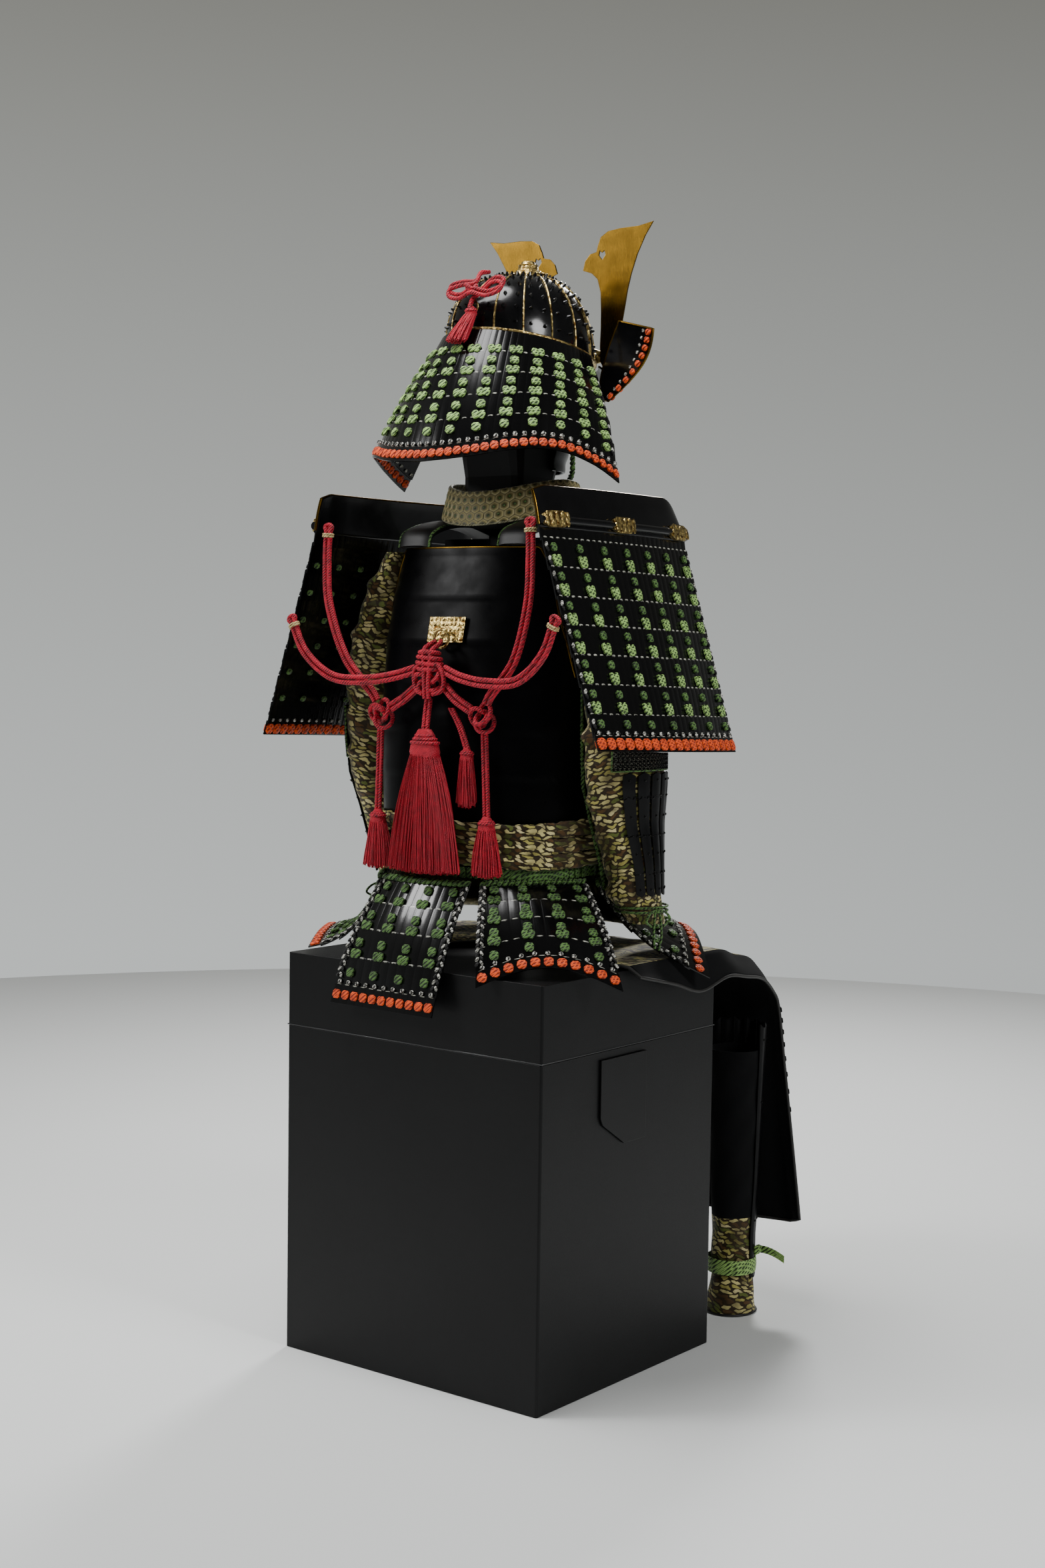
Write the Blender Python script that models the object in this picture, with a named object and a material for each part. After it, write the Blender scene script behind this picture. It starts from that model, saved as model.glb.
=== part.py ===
# Samurai armour seated on its black chest. Metres, +Z up, the armour faces -Y and its left is +X.
# The floor is z = 0 and the chest stands over the origin.
import math

import bmesh
import bpy
import numpy as np
from mathutils import Matrix

GAP = 0.0003  # between pieces that touch

# Chest and stand
CHEST_WIDTH = 0.450
CHEST_DEPTH = 0.404
CHEST_HEIGHT = 0.564
LID_SEAM = 0.461
BOARD = 0.012
LIP_HEIGHT = 0.014
POST_RADIUS = 0.021
BAR_HEIGHT = 1.120
BAR_HALF = 0.100
HEAD_FOOT = 1.150
HEAD_TOP = 1.400

# Helmet
RIM_CENTRE = (0.0, -0.021, 1.405)
RIM_HALF_WIDTH = 0.095
RIM_HALF_DEPTH = 0.115
RIM_TILT = math.radians(9.4)
BOWL_TOP = 1.512
BOWL_WALL = 0.003
PLATES = 16
RIVETS_A_ROW = 4
NECK_LAMES = 5
NECK_KNOTS = 15
NECK_SWEEP = 87.0
HORN_FOOT_Y = -0.1415
HORN_LEAN = math.radians(3.4)  # back from the upright
HORN_THICK = 0.002

# Body
TORSO_POWER = 2.8
SHELL_WALL = 0.003
WAIST = 0.700
SASH_LOW = 0.703
SASH_HIGH = 0.763
SASH_WRAPS = 3
SKIRT_TOP = 0.684
SKIRT_LAMES = 4
SKIRT_KNOTS = 4

# Shoulder guards
GUARD_LAMES = 8
GUARD_KNOTS = 7
LAME_STEP = 0.0035
KNOT_STANDS = 0.004
LEATHER = 0.003

# Cloth and cords
CLOTH = 0.002
CORD_RADIUS = 0.0034
CORD_POINTS = 9

LOOKS = {
    "lacquer": ((0.012, 0.012, 0.013), 0.22, 0.0),
    "satin black": ((0.014, 0.014, 0.015), 0.45, 0.0),
    "laced scales": ((0.020, 0.035, 0.018), 0.40, 0.0),
    "gilt": ((0.62, 0.42, 0.12), 0.35, 1.0),
    "brass": ((0.55, 0.38, 0.10), 0.30, 1.0),
    "crimson cord": ((0.50, 0.010, 0.030), 0.60, 0.0),
    "green cord": ((0.06, 0.16, 0.035), 0.65, 0.0),
    "brocade": ((0.20, 0.15, 0.05), 0.60, 0.0),
    "tan leather": ((0.24, 0.20, 0.12), 0.65, 0.0),
    "dark cloth": ((0.012, 0.012, 0.012), 0.90, 0.0),
}


def look(name, kind):
    colour, roughness, metallic = LOOKS[kind]
    material = bpy.data.materials.new(name + " " + kind)
    material.use_nodes = True
    shader = material.node_tree.nodes["Principled BSDF"]
    shader.inputs["Base Color"].default_value = (*colour, 1.0)
    shader.inputs["Roughness"].default_value = roughness
    shader.inputs["Metallic"].default_value = metallic
    return material


def finish(name, kind, bm):
    bmesh.ops.remove_doubles(bm, verts=bm.verts, dist=1e-6)
    bmesh.ops.triangulate(bm, faces=bm.faces)
    bmesh.ops.recalc_face_normals(bm, faces=bm.faces)
    if bm.calc_volume(signed=True) < 0:
        bmesh.ops.reverse_faces(bm, faces=bm.faces)
    mesh = bpy.data.meshes.new(name)
    bm.to_mesh(mesh)
    bm.free()
    mesh.materials.append(look(name, kind))
    body = bpy.data.objects.new(name, mesh)
    bpy.context.scene.collection.objects.link(body)
    return body


def solid(name, kind, points, faces):
    bm = bmesh.new()
    verts = [bm.verts.new(tuple(float(value) for value in point)) for point in points]
    for face in faces:
        bm.faces.new([verts[index] for index in face])
    return finish(name, kind, bm)


# An outer and an inner skin joined at their edges. The inner one may have fewer rows.
def wall(name, kind, outer, inner, around=False, pokes=None):
    outer = np.asarray(outer, float)
    inner = np.asarray(inner, float)
    pokes = pokes or {}
    columns = outer.shape[1]
    spans = columns if around else columns - 1
    points = [*outer.reshape(-1, 3), *inner.reshape(-1, 3)]
    inner_start = outer.shape[0] * columns

    def at(row, column, start=0):
        return start + row * columns + column % columns

    faces = []
    for row in range(outer.shape[0] - 1):
        for column in range(spans):
            quad = [at(row, column), at(row, column + 1), at(row + 1, column + 1), at(row + 1, column)]
            if (row, column) in pokes:
                points.append(pokes[row, column])
                tip = len(points) - 1
                faces += [[quad[side], quad[(side + 1) % 4], tip] for side in range(4)]
            else:
                faces.append(quad)
    for row in range(inner.shape[0] - 1):
        for column in range(spans):
            faces.append([
                at(row, column, inner_start),
                at(row + 1, column, inner_start),
                at(row + 1, column + 1, inner_start),
                at(row, column + 1, inner_start),
            ])
    for outer_row, inner_row in ((0, 0), (outer.shape[0] - 1, inner.shape[0] - 1)):
        for column in range(spans):
            faces.append([
                at(outer_row, column),
                at(inner_row, column, inner_start),
                at(inner_row, column + 1, inner_start),
                at(outer_row, column + 1),
            ])
    if not around:
        for column in (0, columns - 1):
            edge = [at(row, column) for row in range(outer.shape[0])]
            edge += [at(row, column, inner_start) for row in reversed(range(inner.shape[0]))]
            faces.append(edge)
    return solid(name, kind, points, faces)


# A closed body through rings of equal count, capped at both ends.
def loft(name, kind, rings):
    rings = np.asarray(rings, float)
    count = rings.shape[1]
    faces = [list(range(count)), [(len(rings) - 1) * count + side for side in range(count)]]
    for ring in range(len(rings) - 1):
        for side in range(count):
            after = (side + 1) % count
            faces.append([
                ring * count + side, ring * count + after,
                (ring + 1) * count + after, (ring + 1) * count + side,
            ])
    return solid(name, kind, rings.reshape(-1, 3), faces)


def rounded_rectangle(half_width, half_depth, corner, height, y=0.0, x=0.0, steps=3):
    ring = []
    for quarter in range(4):
        across = half_width - corner if quarter in (0, 3) else -(half_width - corner)
        along = half_depth - corner if quarter in (0, 1) else -(half_depth - corner)
        for step in range(steps):
            angle = math.radians(90 * quarter + 90 * step / (steps - 1))
            ring.append((x + across + corner * math.cos(angle), y + along + corner * math.sin(angle), height))
    return ring


# The normal of a surface(u, v), pointing away from a core point.
def normal_at(surface, u, v, core):
    e = 0.002
    down = np.subtract(surface(u, min(v + e, 1)), surface(u, max(v - e, 0)))
    across = np.subtract(surface(min(u + e, 1), v), surface(max(u - e, 0), v))
    normal = np.cross(down, across)
    normal /= np.linalg.norm(normal)
    away = np.subtract(surface(u, v), core)
    return normal if normal @ away > 0 else -normal


def moved(surface, u, v, core, by):
    return np.asarray(surface(u, v)) + by * normal_at(surface, u, v, core)


# Where the columns of a laced wall stand: each knot has a cell of its own.
def knot_columns(knots, width=0.32):
    edges = [0.0]
    for knot in range(knots):
        edges += [(knot + 0.5 - width / 2) / knots, (knot + 0.5 + width / 2) / knots]
    return edges + [1.0]


# Lames laced into one wall. The upper edge of each stands proud of the one above, and its knots prouder.
def laced(name, surface, core, lames, knots, thick, band=0.10, inner_rows=3):
    columns = knot_columns(knots)
    lame = (1.0 - band) / lames
    outer = []
    pokes = {}
    tops = [index * lame for index in range(lames)] + [1.0 - band]
    feet = tops[1:] + [1.0]
    for index, (top, foot) in enumerate(zip(tops, feet)):
        shown = top if index == 0 else top + 0.004
        proud = LAME_STEP if index < lames else LAME_STEP * 0.8
        outer.append([moved(surface, u, shown, core, proud) for u in columns])
        outer.append([moved(surface, u, foot, core, 0.0006) for u in columns])
        for column in range(len(columns) - 1):
            middle = (columns[column] + columns[column + 1]) / 2
            centre = (top + foot) / 2
            if index == lames:
                pokes[2 * index, column] = moved(surface, middle, centre, core, LAME_STEP + 0.0015)
            elif column % 2 == 1:
                pokes[2 * index, column] = moved(surface, middle, centre, core, LAME_STEP / 2 + KNOT_STANDS)
    rows = np.linspace(0, 1, inner_rows)
    inner = [[moved(surface, u, v, core, -thick) for u in columns] for v in rows]
    return wall(name, "laced scales", outer, inner, pokes=pokes)


def smooth(points, count):
    points = np.asarray(points, float)
    padded = np.vstack([2 * points[0] - points[1], points, 2 * points[-1] - points[-2]])
    fine = []
    for index in range(1, len(padded) - 2):
        a, b, c, d = padded[index - 1:index + 3]
        for t in np.linspace(0, 1, 16, endpoint=False):
            fine.append(0.5 * (2 * b + (c - a) * t + (2 * a - 5 * b + 4 * c - d) * t**2
                               + (3 * b - a - 3 * c + d) * t**3))
    fine = np.array(fine + [points[-1]])
    along = np.concatenate([[0], np.cumsum(np.linalg.norm(np.diff(fine, axis=0), axis=1))])
    wanted = np.linspace(0, along[-1], count)
    return np.stack([np.interp(wanted, along, fine[:, axis]) for axis in range(3)], axis=1)


def cord(name, kind, points, radius):
    curve = bpy.data.curves.new(name, "CURVE")
    curve.dimensions = "3D"
    curve.bevel_depth = radius
    curve.bevel_resolution = 2
    curve.use_fill_caps = True
    spline = curve.splines.new("POLY")
    spline.points.add(len(points) - 1)
    for point, place in zip(spline.points, points):
        point.co = (*place, 1.0)
    curve.materials.append(look(name, kind))
    body = bpy.data.objects.new(name, curve)
    bpy.context.scene.collection.objects.link(body)
    return body


# A cord that runs out to the last point and comes back beside itself.
def doubled(name, route, face=(0.0, 1.0, 0.0), radius=CORD_RADIUS, count=CORD_POINTS):
    line = smooth(route, count)
    along = np.gradient(line, axis=0)
    along /= np.linalg.norm(along, axis=1, keepdims=True)
    across = np.cross(along, face)
    across /= np.linalg.norm(across, axis=1, keepdims=True)
    apart = radius + 0.0005
    out = line + across * apart
    back = line - across * apart
    turn = [line[-1] + apart * (math.cos(a) * across[-1] + math.sin(a) * along[-1]) for a in (0.8, 1.57, 2.34)]
    return cord(name, "crimson cord", [*out, *turn, *back[::-1]], radius)


def lump(name, kind, centre, radii, waist=0.0, sides=10, rows=6):
    rings = []
    for row in range(rows):
        tilt = math.radians(-78 + 156 * row / (rows - 1))
        ring = []
        for side in range(sides):
            angle = 2 * math.pi * side / sides
            wave = 1 + waist * math.cos(4 * angle) * math.cos(tilt)
            ring.append((
                centre[0] + radii[0] * wave * math.cos(tilt) * math.cos(angle),
                centre[1] + radii[1] * wave * math.cos(tilt) * math.sin(angle),
                centre[2] + radii[2] * math.sin(tilt),
            ))
        rings.append(ring)
    return loft(name, kind, rings)


# A head with a square grid of strands pulled down out of its foot and spread.
def tassel(name, top, head_radius, head_height, foot, strands_across, spread, flat=0.75, cord_to=None, deep=0.6, drift=(0.0, 0.0)):
    bm = bmesh.new()
    grid = {}
    count = strands_across + 1
    neck = top[2] - head_height
    for row in range(count):
        for column in range(count):
            u = 2 * column / strands_across - 1
            v = 2 * row / strands_across - 1
            x = u * math.sqrt(1 - 0.32 * v * v)
            y = v * math.sqrt(1 - 0.32 * u * u)
            grid[row, column] = bm.verts.new((top[0] + head_radius * x, top[1] + flat * head_radius * y, neck))
    roots = []
    for row in range(strands_across):
        for column in range(strands_across):
            roots.append(bm.faces.new([
                grid[row, column], grid[row + 1, column], grid[row + 1, column + 1], grid[row, column + 1],
            ]))
    last = strands_across
    edge = [(0, i) for i in range(last)] + [(i, last) for i in range(last)]
    edge += [(last, last - i) for i in range(last)] + [(last - i, 0) for i in range(last)]
    below = [grid[key] for key in edge]
    levels = [(0.86, 0.25, 0.0), (1.0, 0.6, 0.0), (0.55, 1.0, 0.0)]
    if cord_to:
        rise = (cord_to[2] - neck) / head_height
        levels += [(0.42, 1.15, 0.0), (0.42, (1.15 + rise) / 2, 0.5), (0.42, rise, 1.0)]
    lean = (cord_to[0] - top[0], cord_to[1] - top[1]) if cord_to else (0.0, 0.0)
    for share, height, way in levels:
        ring = []
        for key in edge:
            place = grid[key].co
            ring.append(bm.verts.new((
                top[0] + lean[0] * way + (place.x - top[0]) * share,
                top[1] + lean[1] * way + (place.y - top[1]) * share,
                neck + head_height * height,
            )))
        for side in range(len(edge)):
            after = (side + 1) % len(edge)
            bm.faces.new([below[side], below[after], ring[after], ring[side]])
        below = ring
    bm.faces.new(below)
    cell = 2 * head_radius / strands_across
    bmesh.ops.inset_individual(bm, faces=roots, thickness=cell * flat * 0.16)
    ends = bmesh.ops.extrude_discrete_faces(bm, faces=roots)["faces"]
    for face in ends:
        middle = face.calc_center_median()
        target = (
            top[0] + drift[0] + (middle.x - top[0]) * spread,
            top[1] + drift[1] + (middle.y - top[1]) * (1 + (spread - 1) * deep),
            foot,
        )
        for vert in face.verts:
            for axis in range(3):
                vert.co[axis] = target[axis] + (vert.co[axis] - middle[axis]) * (0.9 if axis < 2 else 0)
    return finish(name, "crimson cord", bm)


# A flat outline with holes, stood up on its foot and leant back.
def plate(name, kind, outlines, thick, foot, lean):
    curve = bpy.data.curves.new(name, "CURVE")
    curve.dimensions = "2D"
    curve.fill_mode = "BOTH"
    curve.extrude = thick / 2
    for outline in outlines:
        spline = curve.splines.new("POLY")
        spline.points.add(len(outline) - 1)
        spline.use_cyclic_u = True
        for point, (x, z) in zip(spline.points, outline):
            point.co = (x, z, 0.0, 1.0)
    curve.materials.append(look(name, kind))
    body = bpy.data.objects.new(name, curve)
    body.matrix_world = Matrix.Translation(foot) @ Matrix.Rotation(math.radians(90) - lean, 4, "X")
    bpy.context.scene.collection.objects.link(body)
    return body


def union(body, other):
    other.hide_render = True
    other.display_type = "WIRE"
    join = body.modifiers.new("join " + other.name, "BOOLEAN")
    join.operation = "UNION"
    join.solver = "EXACT"
    join.object = other


def table(rows, at):
    keys = [row[0] for row in rows]
    order = np.argsort(keys)
    values = np.array([row[1:] for row in rows], float)[order]
    found = [np.interp(at, np.array(keys, float)[order], values[:, column]) for column in range(values.shape[1])]
    return found[0] if len(found) == 1 else found


def clear_scene():
    for old in list(bpy.data.objects):
        bpy.data.objects.remove(old, do_unlink=True)


# ---- Chest and stand
def build_chest():
    half_x = CHEST_WIDTH / 2
    half_y = CHEST_DEPTH / 2
    lip = BOARD + 0.006
    loft("chest_body", "satin black", [
        rounded_rectangle(half_x, half_y, 0.003, 0.0),
        rounded_rectangle(half_x, half_y, 0.003, LID_SEAM - GAP),
        rounded_rectangle(half_x - BOARD - GAP, half_y - BOARD - GAP, 0.002, LID_SEAM - GAP + 0.0001),
        rounded_rectangle(half_x - BOARD - GAP, half_y - BOARD - GAP, 0.002, LID_SEAM + LIP_HEIGHT),
        rounded_rectangle(half_x - lip, half_y - lip, 0.002, LID_SEAM + LIP_HEIGHT + 0.0001),
        rounded_rectangle(half_x - lip, half_y - lip, 0.002, BOARD),
    ])
    loft("chest_lid", "satin black", [
        rounded_rectangle(half_x - BOARD, half_y - BOARD, 0.002, CHEST_HEIGHT - BOARD),
        rounded_rectangle(half_x - BOARD, half_y - BOARD, 0.002, LID_SEAM + 0.0001),
        rounded_rectangle(half_x, half_y, 0.003, LID_SEAM),
        rounded_rectangle(half_x, half_y, 0.003, CHEST_HEIGHT),
    ])
    side = -half_x - GAP
    flap = [(0.075, 0.450), (0.075, 0.372), (0.070, 0.362), (0.020, 0.330), (-0.030, 0.330), (-0.030, 0.450)]
    loft("chest_flap", "dark cloth", [[(side, y, z) for y, z in flap], [(side - 0.003, y, z) for y, z in flap]])


def build_stand():
    def square(radius, z):
        return rounded_rectangle(radius, radius, 0.004, z)

    ring_left = [(-BAR_HALF, y, z) for y, z in ((-0.02, BAR_HEIGHT), (0.02, BAR_HEIGHT), (0.02, 1.146), (-0.02, 1.146))]
    bar = loft("shoulder_bar", "satin black", [ring_left, [(-x, y, z) for x, y, z in ring_left]])
    stand = loft("stand", "satin black", [
        square(POST_RADIUS, CHEST_HEIGHT + GAP),
        square(POST_RADIUS, 1.150),
        rounded_rectangle(0.050, 0.045, 0.012, 1.165, 0.0),
        rounded_rectangle(0.050, 0.045, 0.012, 1.230, 0.0),
        rounded_rectangle(0.056, 0.062, 0.020, 1.290, -0.004),
        rounded_rectangle(0.064, 0.080, 0.030, HEAD_TOP, -0.012),
        rounded_rectangle(0.040, 0.052, 0.020, 1.455, -0.016),
    ])
    union(stand, bar)


# ---- Helmet
def rim_point(angle, grow=0.0):
    x = (RIM_HALF_WIDTH + grow) * math.sin(angle)
    y = RIM_CENTRE[1] + (RIM_HALF_DEPTH + grow) * math.cos(angle)
    return x, y, RIM_CENTRE[2] + math.tan(RIM_TILT) * (y - RIM_CENTRE[1])


def bowl_point(angle, rise, inside=0.0):
    # rise 0 at the rim, 1 at the crown; the profile is a rounded dome
    tilt = rise * math.radians(84)
    x, y, z = rim_point(angle, -inside)
    crown = BOWL_TOP - inside - math.tan(RIM_TILT) * 0.0
    share = math.cos(tilt) ** 0.80
    height = math.sin(tilt) ** 0.92
    top_y = RIM_CENTRE[1] - 0.014
    return (
        x * share,
        top_y + (y - top_y) * share,
        z + (crown - z) * height,
    )


def build_helmet():
    columns = PLATES * 3
    rows = 6
    outer = []
    pokes = {}
    for row in range(rows):
        rise = row / (rows - 1)
        ring = []
        for column in range(columns):
            angle = 2 * math.pi * (column + 0.5) / columns
            ridge = -0.003 if column % 3 == 0 else 0.0
            ring.append(bowl_point(angle, rise, ridge if row < rows - 1 else 0.0))
        outer.append(ring)
    for row in range(RIVETS_A_ROW):
        for column in range(1, columns, 3):
            angle = 2 * math.pi * (column + 1.0) / columns
            pokes[row, column] = bowl_point(angle, (row + 0.5) / (rows - 1), -0.005)
    inner = []
    for rise in (0.0, 0.5, 1.0):
        inner.append([bowl_point(2 * math.pi * (c + 0.5) / columns, rise, BOWL_WALL) for c in range(columns)])
    # the crown hole is closed by the crown fitting
    wall("helmet_bowl", "lacquer", outer, inner, around=True, pokes=pokes)

    crown = bowl_point(0, 1.0)
    top = (0.0, RIM_CENTRE[1] - 0.014)
    ring_of = lambda radius, z: [
        (top[0] + radius * math.cos(2 * math.pi * k / 12), top[1] + radius * math.sin(2 * math.pi * k / 12), z)
        for k in range(12)
    ]
    base = BOWL_TOP + 0.0035
    rings = [ring_of(0.024, base), ring_of(0.023, base + 0.004), ring_of(0.015, base + 0.006),
             ring_of(0.013, base + 0.012), ring_of(0.009, base + 0.014), ring_of(0.007, base + 0.019)]
    loft("crown_fitting", "gilt", rings)

    def neck(u, v):
        degrees = NECK_SWEEP * (1 - 2 * u)
        upper = np.array(rim_point(math.radians(degrees * 1.20), 0.0045)) + (0, 0, -0.004)
        low = table((
            (0, 1.238), (12, 1.240), (24, 1.244), (36, 1.251), (48, 1.255),
            (58, 1.253), (66, 1.246), (75, 1.235), (87, 1.216),
        ), abs(degrees))
        angle = math.radians(degrees)
        lower = np.array((0.189 * math.sin(angle), -0.005 + 0.197 * math.cos(angle), low))
        belly = 0.006 * math.sin(math.pi * v)
        point = upper + (lower - upper) * v
        return point + belly * np.array((math.sin(angle), math.cos(angle), 0.3))

    laced("neck_guard", neck, (0, -0.02, 1.36), NECK_LAMES, NECK_KNOTS, 0.002, band=0.11, inner_rows=3)

    for name, side in (("turnback_left", 1), ("turnback_right", -1)):
        def wing(u, v):
            bow = math.sin(math.pi * v)
            inner_edge = np.array((side * (0.112 - 0.034 * v - 0.006 * bow), -0.100, 1.450 - 0.104 * v))
            outer_edge = np.array((side * (0.174 - 0.074 * v + 0.020 * bow), -0.100, 1.434 - 0.094 * v))
            return inner_edge + (outer_edge - inner_edge) * u + np.array((0, 0.006 * u * u, 0))

        grid = [0.0, 0.22, 0.44, 0.66, 0.82, 1.0]
        rows_v = np.linspace(0, 1, 6)
        core = (side * 0.12, -1.0, 1.39)
        outer = [[moved(wing, u, v, core, 0.0035 if u > 0.6 else 0.002) for u in grid] for v in rows_v]
        inner = [[moved(wing, u, v, core, -0.001) for u in grid] for v in (0.0, 0.5, 1.0)]
        wall(name, "lacquer", outer, inner)

    # the visor at the front of the rim
    def visor(u, v):
        angle = math.radians(180 + 52 * (2 * u - 1))
        start = np.array(rim_point(angle, 0.006)) + (0, 0, -0.003)
        return start + np.array((0.30 * math.sin(angle), 0.75 * math.cos(angle), -0.28)) * 0.045 * v

    us = np.linspace(0, 1, 11)
    core = (0, -0.05, 1.20)
    wall("visor", "lacquer",
         [[moved(visor, u, v, core, 0.002) for u in us] for v in (0, 0.5, 1)],
         [[moved(visor, u, v, core, -0.001) for u in us] for v in (0, 1)])

    # the socket that carries both horns, on the front of the bowl
    socket = [(-0.016, 1.398), (0.016, 1.398), (0.058, 1.404), (0.062, 1.414), (0.034, 1.424), (0.012, 1.428),
              (-0.012, 1.428), (-0.034, 1.424), (-0.062, 1.414), (-0.058, 1.404)]
    front = HORN_FOOT_Y - HORN_THICK / 2 - GAP
    loft("horn_socket", "gilt", [[(x, front, z) for x, z in socket], [(x, front - 0.004, z) for x, z in socket]])
    outline = [
        (0.050, 1.404), (0.056, 1.393), (0.066, 1.394), (0.077, 1.416), (0.087, 1.445), (0.095, 1.478), (0.100, 1.500),
        (0.107, 1.522), (0.118, 1.548), (0.132, 1.572), (0.146, 1.590),
        (0.120, 1.586), (0.090, 1.586), (0.068, 1.584), (0.055, 1.577), (0.050, 1.566), (0.047, 1.557),
        (0.036, 1.555), (0.027, 1.546), (0.023, 1.533),
        (0.038, 1.528), (0.048, 1.519), (0.053, 1.500), (0.053, 1.474), (0.052, 1.449), (0.050, 1.425),
    ]
    heart = [(0.057, 1.545), (0.063, 1.552), (0.061, 1.558), (0.057, 1.555), (0.053, 1.558), (0.051, 1.552)]
    for name, side in (("horn_left", 1), ("horn_right", -1)):
        shape = [(side * x, z - 1.400) for x, z in outline]
        hole = [(side * x, z - 1.400) for x, z in heart]
        plate(name, "brass", [shape, hole], HORN_THICK, (0.0, HORN_FOOT_Y, 1.400), HORN_LEAN)

    # bow behind the crown, its tassel, chin cord
    bow = [(-0.012, 0.104, 1.4560), (-0.013, 0.099, 1.468), (-0.020, 0.093, 1.476), (-0.040, 0.090, 1.490),
           (-0.056, 0.091, 1.488), (-0.055, 0.094, 1.478), (-0.035, 0.098, 1.472), (-0.013, 0.103, 1.477),
           (0.012, 0.097, 1.472), (0.031, 0.095, 1.476), (0.033, 0.092, 1.486), (0.015, 0.090, 1.490),
           (-0.005, 0.086, 1.490), (-0.002, 0.072, 1.503), (0.0, 0.052, 1.507)]
    cord("helmet_bow", "crimson cord", smooth(bow, 22), 0.0026)
    tassel("bow_tassel", (-0.012, 0.1045, 1.453), 0.0085, 0.012, 1.404, 3, 1.5, drift=(0.010, 0.022))
    chin = [(-0.062, -0.035, 1.365), (-0.068, -0.036, 1.310), (-0.066, -0.040, 1.262), (-0.058, -0.050, 1.235),
            (-0.030, -0.072, 1.222), (0.0, -0.078, 1.220), (0.030, -0.072, 1.222), (0.058, -0.050, 1.235),
            (0.066, -0.040, 1.262), (0.068, -0.036, 1.310), (0.062, -0.035, 1.365)]
    chin = [(x * 1.16, y - 0.003, z) for x, y, z in chin]
    cord("chin_cord", "green cord", smooth(chin, 16), 0.003)

    def chin_guard(u, v):
        angle = math.radians(180 + 88 * (2 * u - 1))
        grow = 1 - 0.18 * v
        return (0.068 * grow * math.sin(angle), -0.020 + 0.088 * grow * math.cos(angle), 1.312 - 0.070 * v)

    us = np.linspace(0, 1, 9)
    core = (0, -0.02, 1.30)
    wall("chin_guard", "lacquer",
         [[moved(chin_guard, u, v, core, 0.003) for u in us] for v in (0, 0.35, 0.7, 1)],
         [[moved(chin_guard, u, v, core, 0.0) for u in us] for v in (0, 1)])


# ---- Body
TORSO = (
    # height, half width, y of the back, y of the front
    (0.660, 0.150, 0.142, -0.122),
    (0.700, 0.150, 0.142, -0.122),
    (0.800, 0.158, 0.144, -0.124),
    (0.900, 0.164, 0.142, -0.126),
    (1.000, 0.164, 0.130, -0.120),
    (1.060, 0.158, 0.118, -0.110),
    (1.135, 0.150, 0.098, -0.098),
)


def torso(angle, z, out=0.0):
    half, back, front = table(TORSO, z)
    middle = (back + front) / 2
    depth = (back - front) / 2
    s, c = math.sin(angle), math.cos(angle)
    power = 2 / TORSO_POWER
    x = half * math.copysign(abs(s) ** power, s)
    y = depth * math.copysign(abs(c) ** power, c)
    # outward is close to the direction of the ellipse's normal
    nx, ny = x / half**2, y / depth**2
    size = math.hypot(nx, ny)
    return np.array((x + out * nx / size, middle + y + out * ny / size, z))


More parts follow.
